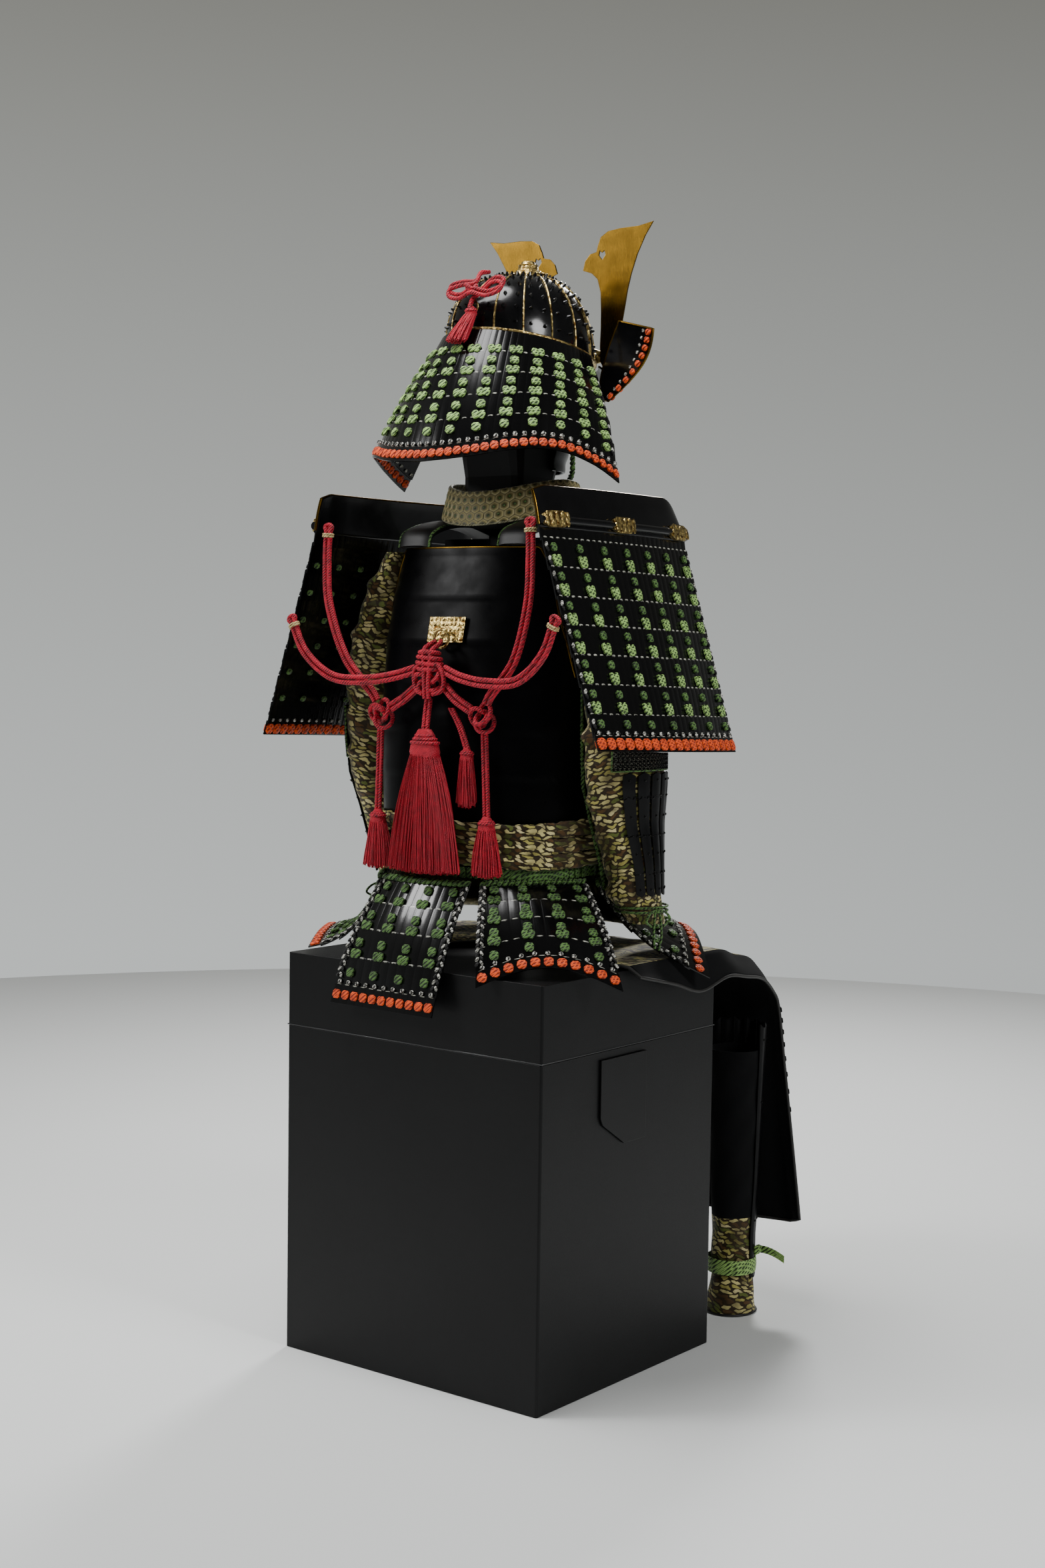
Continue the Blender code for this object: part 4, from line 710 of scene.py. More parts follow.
def neckSurface(u, v):
    degrees = 87 * (1 - 2 * u)
    upper = rimPoint(math.radians(degrees * 1.20), 0.0045) + Vector((0, 0, -0.004))
    low = table(((0, 1.238), (12, 1.240), (24, 1.244), (36, 1.251), (48, 1.255), (58, 1.253), (66, 1.246), (75, 1.235),
                 (87, 1.216)), abs(degrees))[0]
    angle = math.radians(degrees)
    lower = Vector((0.189 * math.sin(angle), -0.005 + 0.197 * math.cos(angle), low))
    belly = 0.006 * math.sin(math.pi * v)
    return upper.lerp(lower, v) + belly * Vector((math.sin(angle), math.cos(angle), 0.3))


neckTops = (0.0, 0.178, 0.356, 0.534, 0.712)
neckRows = [(top - 0.020, 0.0168, 0.0122, 2, 0) for top in neckTops[1:]]
neckRows += [(top + 0.074, 0.0112, 0.0116, 1, 0) for top in neckTops[1:]]
neckLook = {"tops": neckTops, "rows": neckRows, "band": 0.11, "scales": 46, "knots": 15, "edge": 0.034, "height": 0.19,
            "width": 0.60, "bandProud": 0.0030, "inside": True, "orange": 46, "orangeHigh": 0.0112}
lacedPiece("neckGuard", neckSurface, (0, -0.02, 1.36), neckLook, ["neck_guard"])

bm = bmesh.new()
layGrid(bm, bowlGrid, 128, 28, (0.66, 0.16), (0, rimY, 1.40), 0, 0.003)
bmesh.ops.remove_doubles(bm, verts=bm.verts, dist=1e-5)
rivet = smallShape("bowlRivet", rivetShape, 0)
for plateIndex in range(helmetLook["plates"]):
    for column in (-0.24, 0.24):
        for row in range(helmetLook["rivets"]):
            rise = (row + 0.6) / (helmetLook["rivets"] + 0.6)
            u = ((plateIndex + 0.5 + column) / helmetLook["plates"]) % 1.0
            seat = seatOn(bowlGrid, u, 1 - rise, (0, rimY, 1.40), 0.0016, 0.0, helmetLook["rivet"])
            stamp(bm, rivet, seat)
ridges = [([bowlPoint(math.tau * (k / helmetLook["plates"]), r / 14, -0.0006) for r in range(15)], False)
          for k in range(helmetLook["plates"])]
addMesh(bm, cordMesh("ridges", ridges, helmetLook["ridge"], 2), 1)
rim = [rimPoint(math.tau * k / 96, 0.0012) for k in range(96)]
addMesh(bm, cordMesh("rim", [(rim, True)], 0.0028, 3), 1)
pieceFrom("helmetBowl", bm, [lacquer, gilt], ["helmet_bowl"], 30)

bm = bmesh.new()
crownBase = helmetLook["top"] - 0.0006
crownCentre = (0.0, rimY - 0.014, 0.0)
lathe(bm,
      [(0.0, crownBase), (0.0255, crownBase), (0.0262, crownBase + 0.002), (0.0245, crownBase + 0.0052),
       (0.0190, crownBase + 0.0062), (0.0180, crownBase + 0.0085), (0.0150, crownBase + 0.0098),
       (0.0135, crownBase + 0.0150), (0.0142, crownBase + 0.0168), (0.0105, crownBase + 0.0178),
       (0.0090, crownBase + 0.0215), (0.0075, crownBase + 0.0222), (0.0062, crownBase + 0.0205), (0.0, crownBase + 0.0200)],
      crownCentre, 48)
for petal in range(16):
    angle = math.tau * petal / 16
    x, y = 0.0255 * math.cos(angle), 0.0255 * math.sin(angle)
    place = Matrix.Translation((crownCentre[0] + x, crownCentre[1] + y, crownBase + 0.0030))
    stamp(bm, beadWhite, place @ Matrix.Rotation(angle, 4, "Z") @ Matrix.Diagonal((0.0085, 0.0082, 0.0050, 1)))
keepMaterials(bm, 0)
pieceFrom("crownFitting", bm, [gilt], ["crown_fitting"])
print("helmet made")

# Turned-back wings, visor, chin guard
wingLook = {"orange": 9, "beads": 10}
for word, side in (("left", 1), ("right", -1)):
    def wing(u, v, side=side):
        bow = math.sin(math.pi * v)
        inner = Vector((side * (0.112 - 0.034 * v - 0.006 * bow), -0.100, 1.450 - 0.104 * v))
        outer = Vector((side * (0.174 - 0.074 * v + 0.020 * bow), -0.100, 1.434 - 0.094 * v))
        return inner.lerp(outer, u) + Vector((0, 0.006 * u * u, 0))

    core = (side * 0.12, -1.0, 1.39)
    bm = bmesh.new()
    layGrid(bm, lambda u, v: moved(wing, u, v, core, 0.0022), 24, 24, (0.08, 0.10), core, 0, 0.0032)
    edge = [moved(wing, u, v, core, 0.0010) for u, v in roundEdge(12, 12)]
    addMesh(bm, cordMesh("wingRim", [(edge, True)], 0.0019, 2), 1)
    for block in range(wingLook["orange"]):
        v = (block + 0.5) / wingLook["orange"]
        stamp(bm, pillowOrange, seatOn(wing, 0.90, v, core, 0.0036, 0.0, (0.0086, 0.0084, 0.0040)))
        stamp(bm, pillowOrange, seatOn(wing, 0.90, v, core, -0.0012, 0.0, (0.0086, 0.0084, 0.0030)))
    for bead in range(wingLook["beads"]):
        v = (bead + 0.5) / wingLook["beads"]
        for proud in (0.0030, -0.0010):
            stamp(bm, beadWhite, seatOn(wing, 0.74, v, core, proud, 0.5, (0.0046, 0.0058, 0.0032)))
    pieceFrom("turnbackWing_" + word, bm, [lacquer, brass, orangeSilk, whiteSilk], ["turnback_" + word])


visorLook = {"half": 52, "deep": 0.045, "rivets": 5}
chinLook = {"half": 88, "high": 0.070, "narrower": 0.18}


def visorSurface(u, v):
    angle = math.radians(180 + visorLook["half"] * (2 * u - 1))
    slope = Vector((0.30 * math.sin(angle), 0.75 * math.cos(angle), -0.28))
    return rimPoint(angle, 0.006) + Vector((0, 0, -0.003)) + slope * visorLook["deep"] * v


bm = bmesh.new()
core = (0, -0.05, 1.20)
layGrid(bm, lambda u, v: moved(visorSurface, u, v, core, 0.002), 48, 8, (0.2, 0.04), core, 0, 0.003)
visorEdge = [moved(visorSurface, k / 24, 1, core, 0.0005) for k in range(25)]
addMesh(bm, cordMesh("visorRim", [(visorEdge, False)], 0.0018, 2), 1)
for rivetAt in range(visorLook["rivets"]):
    stamp(bm, beadWhite,
          seatOn(visorSurface, (rivetAt + 0.5) / visorLook["rivets"], 0.25, core, 0.0024, 0, (0.006, 0.006, 0.003)))
keepMaterials(bm, 1)
pieceFrom("visorPeak", bm, [lacquer, gilt], ["visor"])


def chinSurface(u, v):
    angle = math.radians(180 + chinLook["half"] * (2 * u - 1))
    grow = 1 - chinLook["narrower"] * v
    return Vector((0.068 * grow * math.sin(angle), -0.020 + 0.088 * grow * math.cos(angle), 1.312 - chinLook["high"] * v))


def chinFlute(u, v):
    return moved(chinSurface, u, v, core, 0.0022 + 0.0008 * math.cos(6 * math.pi * v))


bm = bmesh.new()
core = (0, -0.02, 1.30)
layGrid(bm, chinFlute, 48, 24, (0.3, 0.07), core, 0, 0.003)
chinEdges = [([moved(chinSurface, k / 32, end, core, 0.001) for k in range(33)], False) for end in (0.0, 1.0)]
addMesh(bm, cordMesh("chinEdge", chinEdges, 0.0016, 2), 0)
pieceFrom("chinGuard", bm, [lacquer], ["chin_guard"])


# Strands wound round a line, as in a twisted cord.
def twistedLines(points, apart, turns, strands=2):
    lines = []
    for strand in range(strands):
        line = []
        for index, point in enumerate(points):
            ahead = points[min(index + 1, len(points) - 1)] - points[max(index - 1, 0)]
            ahead = ahead.normalized()
            side = ahead.cross(Vector((0.13, 0.21, 0.97))).normalized()
            other = ahead.cross(side)
            angle = math.tau * (turns * index / (len(points) - 1) + strand / strands)
            line.append(point + apart * (math.cos(angle) * side + math.sin(angle) * other))
        lines.append((line, False))
    return lines


bow = [(-0.012, 0.104, 1.4560), (-0.013, 0.099, 1.468), (-0.020, 0.093, 1.476), (-0.040, 0.090, 1.490),
       (-0.056, 0.091, 1.488), (-0.055, 0.094, 1.478), (-0.035, 0.098, 1.472), (-0.013, 0.103, 1.477),
       (0.012, 0.097, 1.472), (0.031, 0.095, 1.476), (0.033, 0.092, 1.486), (0.015, 0.090, 1.490),
       (-0.005, 0.086, 1.490), (-0.002, 0.072, 1.503), (0.0, 0.052, 1.507)]
bm = bmesh.new()
bow = smoothLine(bow, 90)
second = [point + min(1.0, (89 - index) / 24) * Vector((0.0, 0.0042, -0.0062)) for index, point in enumerate(bow)]
addMesh(bm, cordMesh("bowCord", [(bow, False), (second, False)], 0.0029, 3), 0)
knot = [Vector((-0.011 + 0.0070 * math.cos(a), 0.1000 + 0.0050 * math.sin(a), 1.4745 + 0.0022 * math.sin(2 * a)))
        for a in turns(24)]
upper = [point + Vector((0.002, 0.0008, 0.0046)) for point in knot]
addMesh(bm, cordMesh("bowKnot", [(knot, True), (upper, True)], 0.0026, 3), 0)
ring = [Vector((-0.012 + 0.0075 * math.cos(a), 0.0995, 1.4530 + 0.0075 * math.sin(a))) for a in turns(24)]
addMesh(bm, cordMesh("bowRing", [(ring, True)], 0.0014, 2), 1)
pieceFrom("helmetBow", bm, [crimsonSilk, gilt], ["helmet_bow"], 60)

chin = [(-0.062, -0.035, 1.365), (-0.068, -0.036, 1.310), (-0.066, -0.040, 1.262), (-0.058, -0.050, 1.235),
        (-0.030, -0.072, 1.222), (0.0, -0.078, 1.220), (0.030, -0.072, 1.222), (0.058, -0.050, 1.235),
        (0.066, -0.040, 1.262), (0.068, -0.036, 1.310), (0.062, -0.035, 1.365)]
chin = smoothLine([(x * 1.16, y - 0.003, z) for x, y, z in chin], 160)
bm = bmesh.new()
addMesh(bm, cordMesh("chinLines", twistedLines(chin, 0.0020, 30), 0.0023, 2), 0)
pieceFrom("chinCord", bm, [deepGreenSilk], ["chin_cord"], 60)


# Tassels: strands run from the foot of the head to an uneven hem; the head is bound with cord.
def makeTassel(name, node, look):
    top = Vector(look["top"])
    neck = top.z - look["headHigh"]
    lines = []
    for strand in range(look["strands"]):
        share = math.sqrt((strand + 0.5) / look["strands"])
        angle = strand * 2.399963
        x = share * math.cos(angle)
        y = share * math.sin(angle)
        start = Vector((top.x + look["radius"] * x, top.y + look["flat"] * look["radius"] * y, neck + 0.002))
        drift = Vector((look["drift"][0], look["drift"][1], 0))
        hem = look["foot"] + dice.uniform(0.0, 0.006) + 0.004 * share * share
        end = Vector((top.x + look["wide"] * x, top.y + look["deep"] * y, hem)) + drift
        wave = dice.uniform(-1, 1) * look["wave"]
        line = []
        for step in range(7):
            t = step / 6
            ease = t * (1.55 - 0.55 * t)
            point = start.lerp(end, t)
            point.x = start.x + (end.x - start.x) * ease
            point.x += wave * math.sin(math.pi * t * 1.6 + strand)
            point.y += 0.5 * wave * math.cos(math.pi * t + strand)
            line.append(point)
        lines.append((line, False))
    bm = bmesh.new()
    addMesh(bm, cordMesh("strands", lines, look["thread"], 0), 0)
    r, f = look["radius"], look["flat"]
    lathe(bm,
          [(0.0, neck - 0.001), (r * 0.98, neck - 0.001), (r * 1.06, neck + 0.15 * look["headHigh"]),
           (r * 0.98, neck + 0.40 * look["headHigh"]), (r * 0.74, neck + 0.72 * look["headHigh"]),
           (r * 0.60, neck + 0.86 * look["headHigh"]), (r * 0.45, neck + look["headHigh"]),
           (0.0, neck + look["headHigh"] * 1.02)], (top.x, top.y, 0.0), 40, 0, f)
    binding = []
    for turn in range(look["binds"]):
        z = neck + look["headHigh"] * (0.50 + 0.13 * turn)
        wide = r * (0.93 - 0.16 * turn)
        binding.append(([Vector((top.x + wide * math.cos(a), top.y + wide * f * math.sin(a), z)) for a in turns(40)], True))
    addMesh(bm, cordMesh("binding", binding, look["cord"] * 0.75, 2), 1)
    if look.get("hang"):
        hang = [Vector(point) for point in look["hang"]]
        pair = []
        for half in (-1, 1):
            pair.append((smoothLine([point + Vector((half * look["cord"] * 1.12, 0, 0)) for point in hang], 24), False))
        addMesh(bm, cordMesh("hang", pair, look["cord"], 3), 1)
    return pieceFrom(name, bm, [tasselSilk, crimsonSilk], [node], 60)


makeTassel("tasselCentre", "tassel_centre",
           {"top": (0.0, 0.1760, 0.884), "headHigh": 0.036, "radius": 0.024, "flat": 0.46, "foot": 0.688, "wide": 0.064,
            "deep": 0.0125, "strands": 520, "thread": 0.00085, "wave": 0.0016, "drift": (0, 0), "cord": 0.0030, "binds": 3,
            "hang": [(0.001, 0.1745, 0.880), (0.002, 0.1700, 0.905), (0.002, 0.1665, 0.925)]})
for word, side in (("left", 1), ("right", -1)):
    makeTassel("tasselSide_" + word, "tassel_" + word,
               {"top": (side * 0.096, 0.1610, 0.7710), "headHigh": 0.018, "radius": 0.012, "flat": 0.75, "foot": 0.688,
                "wide": 0.0235, "deep": 0.0145, "strands": 170, "thread": 0.0008, "wave": 0.0012, "drift": (0, 0),
                "cord": 0.0027, "binds": 2,
                "hang": [(side * 0.096, 0.1610, 0.768), (side * 0.094, 0.1615, 0.82), (side * 0.0915, 0.1622, 0.882)]})
makeTassel("tasselInner", "tassel_inner",
           {"top": (-0.060, 0.1600, 0.861), "headHigh": 0.016, "radius": 0.010, "flat": 0.65, "foot": 0.779, "wide": 0.0165,
            "deep": 0.0080, "strands": 120, "thread": 0.0007, "wave": 0.001, "drift": (0, 0), "cord": 0.0025, "binds": 2,
            "hang": [(-0.060, 0.1600, 0.860), (-0.048, 0.1600, 0.888), (-0.032, 0.1600, 0.913)]})
makeTassel("bowTassel", "bow_tassel",
           {"top": (-0.012, 0.1045, 1.453), "headHigh": 0.012, "radius": 0.0085, "flat": 0.75, "foot": 1.400,
            "wide": 0.0170, "deep": 0.0100, "strands": 160, "thread": 0.0008, "wave": 0.0010, "drift": (0.008, 0.020),
            "cord": 0.0022, "binds": 2})
print("tassels made")


# Cuirass
torsoRows = ((0.660, 0.150, 0.142, -0.122), (0.700, 0.150, 0.142, -0.122), (0.800, 0.158, 0.144, -0.124),
             (0.900, 0.164, 0.142, -0.126), (1.000, 0.164, 0.130, -0.120), (1.060, 0.158, 0.118, -0.110),
             (1.135, 0.150, 0.098, -0.098))


def torso(angle, z, out=0.0):
    half, back, front = table(torsoRows, z)
    middle, depth = (back + front) / 2, (back - front) / 2
    s, c = math.sin(angle), math.cos(angle)
    x = half * math.copysign(abs(s) ** (2 / 2.8), s)
    y = depth * math.copysign(abs(c) ** (2 / 2.8), c)
    nx, ny = x / half**2, y / depth**2
    size = math.hypot(nx, ny)
    return Vector((x + out * nx / size, middle + y + out * ny / size, z))


cuirassLook = {"waist": 0.701, "armhole": 0.945, "lame": 0.0013, "rimRadius": 0.0016}
for name, node, turn, top, lames in (("cuirassBack", "cuirass_back", 0, 1.130, 7),
                                     ("cuirassFront", "cuirass_front", 180, 1.105, 7)):
    def topAt(degrees, top=top):
        a = cuirassLook["armhole"]
        return table(((0, top), (44, top), (54, top - 0.03), (62, top - 0.10), (74, a + 0.012), (90, a)), abs(degrees))[0]

    def shell(u, v, turn=turn, lames=lames):
        degrees = 89.8 * (2 * u - 1)
        top = topAt(degrees)
        z = cuirassLook["waist"] + (top - cuirassLook["waist"]) * (1 - v)
        step = ((z - 0.70) * lames / 0.42) % 1.0
        swell = 0.0030 + cuirassLook["lame"] * (1 - step) ** 3
        return torso(math.radians(turn + degrees), z, swell)

    bm = bmesh.new()
    core = (0, 0.01, 0.9)
    layGrid(bm, shell, 90, 84, (0.5, 0.42), core, 0, 0.0028)
    rim = [torso(math.radians(turn + 89.8 * (2 * k / 80 - 1)), topAt(89.8 * (2 * k / 80 - 1)), 0.0030) for k in range(81)]
    addMesh(bm, cordMesh("giltRim", [(rim, False)], cuirassLook["rimRadius"], 3), 1)
    hem = [torso(math.radians(turn + 89.8 * (2 * k / 60 - 1)), cuirassLook["waist"] + 0.001, 0.0024) for k in range(61)]
    addMesh(bm, cordMesh("hemRim", [(hem, False)], 0.0016, 2), 0)
    pieceFrom(name, bm, [cuirassLacquer, brass], [node], 40)


# Gold plate and ring behind the great knot
bm = bmesh.new()


def backAt(x, z, out):
    half, back, front = table(torsoRows, z)
    return Vector((x, (back + front) / 2 + (back - front) / 2 * (1 - abs(x / half) ** 2.8) ** (1 / 2.8) + out, z))


def plateSurface(u, v):
    return backAt(-0.031 + 0.062 * u, 1.035 - 0.034 * v, 0.0082)


core = (0, 0, 1.02)
layGrid(bm, plateSurface, 16, 10, (0.06, 0.03), core, 0, 0.0026)
for u in range(9):
    for v in range(5):
        stamp(bm, beadWhite,
              seatOn(plateSurface, (u + 0.5) / 9, (v + 0.5) / 5, core, 0.0004, dice.uniform(0, 3),
                     (0.0064, 0.0046, 0.0022)))
ring = [Vector((0.0125 * math.cos(a), 0.1440, 1.0060 + 0.0125 * math.sin(a))) for a in turns(40)]
addMesh(bm, cordMesh("plateRing", [(ring, True)], 0.0021, 3), 0)
keepMaterials(bm, 0)
pieceFrom("ringPlate", bm, [gilt], ["ring_plate"])
print("cuirass made")

# Waist: the lacing band's flat cords and the wound sash
bandLook = {"cords": 96, "top": 0.699, "foot": 0.6855}
bm = bmesh.new()
core = (0, 0.01, 0.69)


def bandSurface(u, v, out=0.0024):
    return torso(math.tau * u, bandLook["top"] + (bandLook["foot"] - bandLook["top"]) * v, out)


layGrid(bm, lambda u, v: bandSurface(u, v, 0.0022), 96, 1, (0.9, 0.014), core, 1, 0.0014)
for cordAt in range(bandLook["cords"]):
    seat = seatOn(bandSurface, (cordAt + 0.5) / bandLook["cords"] * 0.998 + 0.001, 0.5, core, 0.0010, 0.0,
                  (0.0088, 0.0150, 0.0040))
    stamp(bm, pillowGreen, seat)
bmesh.ops.remove_doubles(bm, verts=bm.verts, dist=1e-6)
keepMaterials(bm, 0)
pieceFrom("lacingBand", bm, [deepGreenSilk], ["lacing_band"])

sashLook = {"wraps": 3, "low": 0.703, "high": 0.763, "proud": 0.0068, "deep": 0.0098, "folds": 26}
bm = bmesh.new()
wrapHigh = (sashLook["high"] - sashLook["low"]) / sashLook["wraps"]
for wrap in range(sashLook["wraps"]):
    centre = sashLook["high"] - wrapHigh * (wrap + 0.5)

    def roll(u, v, wrap=wrap, centre=centre):
        angle = math.tau * u
        around = math.tau * v
        twist = sashLook["folds"] * angle + (1 if wrap % 2 else -1) * 2 * around + wrap * 2.0
        crease = 0.0011 * math.sin(twist) + 0.0007 * math.sin(2.3 * twist + 3 * math.sin(angle * 3))
        z = centre + 0.002 * math.sin(2 * angle) + (wrapHigh * 0.56 + crease) * math.sin(around) * 0.96
        z += 0.0022 * math.sin(3 * angle + wrap)
        out = sashLook["proud"] + sashLook["deep"] * 0.5 + (sashLook["deep"] * 0.5 + crease) * math.cos(around)
        return torso(angle, z, out)

    layGrid(bm, roll, 360, 14, (0.92, 0.055), (0, 0.01, centre), 0)
bmesh.ops.remove_doubles(bm, verts=bm.verts, dist=1e-6)
sash = pieceFrom("sashWound", bm, [brocade], ["sash"], 80)

# Shoulder straps
strapLook = {"half": 0.028, "thick": 0.0070}
for word, side in (("left", 1), ("right", -1)):
    path = smoothLine([(0, 0.096, 1.128), (0, 0.090, 1.146), (0, 0.060, 1.158), (0, 0.020, 1.163), (0, -0.030, 1.160),
                       (0, -0.070, 1.145), (0, -0.094, 1.122)], 40)

    def strap(u, v, side=side, path=path):
        at = v * (len(path) - 1)
        low = min(int(at), len(path) - 2)
        y, z = path[low].lerp(path[low + 1], at - low)[1:]
        lean = math.atan2(z - 1.06, y)
        across = 2 * u - 1
        crown = 0.0100 - 0.0045 * abs(across) ** 4
        return Vector((side * 0.088 + strapLook["half"] * across, y + crown * math.cos(lean), z + crown * math.sin(lean)))

    bm = bmesh.new()
    core = (side * 0.088, 0, 1.0)
    layGrid(bm, strap, 12, 48, (0.056, 0.25), core, 0, strapLook["thick"])
    edges = [([strap(edge, k / 32) for k in range(33)], False) for edge in (0.02, 0.98)]
    addMesh(bm, cordMesh("strapPiping", edges, 0.0016, 2), 1)
    pieceFrom("shoulderStrap_" + word, bm, [darkLeather, deepGreenSilk], ["shoulder_strap_" + word])


# Collar, quilted in hexagons round green knots
collarLook = {"cell": 0.0135, "puff": 0.0018}


def collarSurface(u, v):
    angle = math.radians(118 * (1 - 2 * u))
    flare = 0.010 * v
    lift = 0.018 * math.sin(angle) ** 2
    return Vector(((0.094 + flare) * math.sin(angle), -0.010 + (0.080 + flare) * math.cos(angle), 1.206 + lift - 0.044 * v))


collarLength, collarHigh = 0.375, 0.046


def quilt(u, v):  # how far the padding stands out: low along the sewn edges of each hexagon
    x = u * collarLength / collarLook["cell"]
    y = v * collarHigh / collarLook["cell"]
    best = []
    for row in range(int(y / 0.866) - 1, int(y / 0.866) + 3):
        shift = 0.5 * (row % 2)
        for column in (math.floor(x - shift), math.floor(x - shift) + 1):
            best.append(math.hypot(x - column - shift, y - row * 0.866))
    best.sort()
    return best[1] - best[0]  # 0 on a seam, 1 in the middle


# Tan leather quilted in hexagons: pale piped seams, olive pads and a dark middle, by the "puff" attribute.
def makeQuiltedLeather():
    material, tree, shader = newMaterial("tanQuiltedLeather", "#6f6740", 0.55, 0.0, {"Specular IOR Level": 0.35})
    puff = addNode(tree, "ShaderNodeAttribute", attribute_name="puff")
    where = addNode(tree, "ShaderNodeTexCoord").outputs["Object"]
    pebble = addNode(tree, "ShaderNodeTexVoronoi", {"Vector": where, "Scale": perMetre(1.4)}, feature="DISTANCE_TO_EDGE")
    tones = addNode(tree, "ShaderNodeValToRGB", {"Fac": puff.outputs["Fac"]})
    setStops(tones.color_ramp,
             ((0.0, "#2a2612"), (0.20, "#a0966a"), (0.42, "#7a7147"), (0.78, "#3d3a1d"), (1.0, "#12170b")))
    tree.links.new(tones.outputs["Color"], shader.inputs["Base Color"])
    bump = addNode(tree, "ShaderNodeBump", {"Height": pebble.outputs["Distance"], "Strength": 0.35, "Distance": 0.0004})
    tree.links.new(bump.outputs["Normal"], shader.inputs["Normal"])
    return material


def padded(u, v):
    return moved(collarSurface, u, v, core, 0.0012 + collarLook["puff"] * min(1.0, 3.2 * quilt(u, v)))


bm = bmesh.new()
core = (0, -0.01, 1.18)
puffLayer = bm.verts.layers.float.new("puff")
uvLayer = bm.loops.layers.uv.verify()
layGrid(bm, padded, 300, 40, (collarLength, collarHigh), core, 0, 0.0040)
for face in bm.faces:
    for loop in face.loops:
        u, v = loop[uvLayer].uv.x / collarLength, 1 - loop[uvLayer].uv.y / collarHigh
        loop.vert[puffLayer] = min(1.0, quilt(u, v) * 1.15)
dot = smallShape("collarDot", roundBead, 1)
for row in range(0, 5):
    for column in range(0, 31):
        u = (column + 0.5 * (row % 2)) * collarLook["cell"] / collarLength
        v = row * 0.866 * collarLook["cell"] / collarHigh
        if 0.01 < u < 0.99 and 0.04 < v < 0.97:
            stamp(bm, dot, seatOn(collarSurface, u, v, core, 0.0024, 0.0, (0.0046, 0.0046, 0.0022)))
edges = [([moved(collarSurface, k / 60, end, core, 0.0) for k in range(61)], False) for end in (0.0, 1.0)]
edges += [([moved(collarSurface, end, k / 10, core, 0.0) for k in range(11)], False) for end in (0.0, 1.0)]
addMesh(bm, cordMesh("collarPiping", edges, 0.0021, 3), 2)
pieceFrom("collarQuilted", bm, [makeQuiltedLeather(), deepGreenSilk, makeSilk("palePipingSilk", "#a9a585", "#5f5a40")],
          ["collar"], 60)
print("waist and collar made")

# Skirt panels
panels = (("skirt_back", (0.084, 0.1505), (-0.064, 0.1505), (0.123, 0.2225, 0.507), (-0.064, 0.2295, 0.507), 0.0, 0.008,
           0.008),
          ("skirt_back_right", (-0.078, 0.1490), (-0.1600, 0.030), (-0.130, 0.221, 0.553), (-0.285, 0.110, 0.552), 0.028,
           0.006, 0.006),
          ("skirt_back_left", (0.094, 0.1480), (0.1605, 0.016), (0.182, 0.207, 0.5735), (0.300, 0.045, 0.579), 0.005,
           -0.012, -0.024),
          ("skirt_right", (-0.1615, 0.014), (-0.110, -0.1270), (-0.278, -0.106, 0.544), (-0.160, -0.225, 0.592), 0.020,
           -0.022, -0.008),
          ("skirt_left", (0.1615, 0.000), (0.094, -0.1290), (0.287, -0.095, 0.560), (0.170, -0.215, 0.590), 0.020, -0.026,
           -0.012),
          ("skirt_front", (0.080, -0.1310), (-0.096, -0.1310), (0.098, -0.222, 0.588), (-0.112, -0.222, 0.588), 0.004,
           -0.010, -0.026), )
pillowRope = smallShape("ropeTurn", roundBead, 5)
skirtTops = (0.0, 0.250, 0.465, 0.680)
skirtRows = [(top - 0.028, 0.0165, 0.0125, 2, 1) for top in skirtTops[1:]]
skirtRows += [(top + 0.105, 0.0110, 0.0125, 1, 1) for top in skirtTops]
skirtLook = {"tops": skirtTops, "rows": skirtRows, "band": 0.13, "scales": 12, "knots": 4, "edge": 0.13, "height": 0.19,
             "width": 0.165, "bandProud": 0.0026, "orange": 11, "orangeHigh": 0.0122, "braidedSides": True,
             "rope": pillowRope, "ropeShare": 0.90}
for name, topA, topB, footA, footB, lift, belly, rise in panels:
    def panel(u, v, topA=topA, topB=topB, footA=footA, footB=footB, lift=lift, belly=belly, rise=rise):
        flat = Vector(topA).lerp(Vector(topB), u)
        flat = flat + flat.normalized() * 0.012 * math.sin(math.pi * u)
        foot = Vector(footA).lerp(Vector(footB), u) + Vector((0, 0, lift * math.sin(math.pi * u)))
        outward = foot.xy.normalized()
        bend = math.sin(math.pi * v)
        return Vector((flat.x, flat.y, 0.6805)).lerp(foot, v) + bend * Vector((outward.x * belly, outward.y * belly, rise))

    lacedPiece(name + "Laced", panel, (0, 0, 0.30), skirtLook, [name])
print("skirt made")


# Shoulder guards, and the lacquered board that each hangs from
def guardSurface(side, u, v):
    rear = Vector((0.1925, 0.186, 1.150)).lerp(Vector((0.292, 0.185, 0.866)), v)
    front = Vector((0.1925, -0.147, 1.146)).lerp(Vector((0.290, -0.138, 0.855)), v)
    point = rear.lerp(front, u)
    return Vector((side * (point.x + (0.010 + 0.006 * v) * math.sin(math.pi * u)), point.y, point.z))


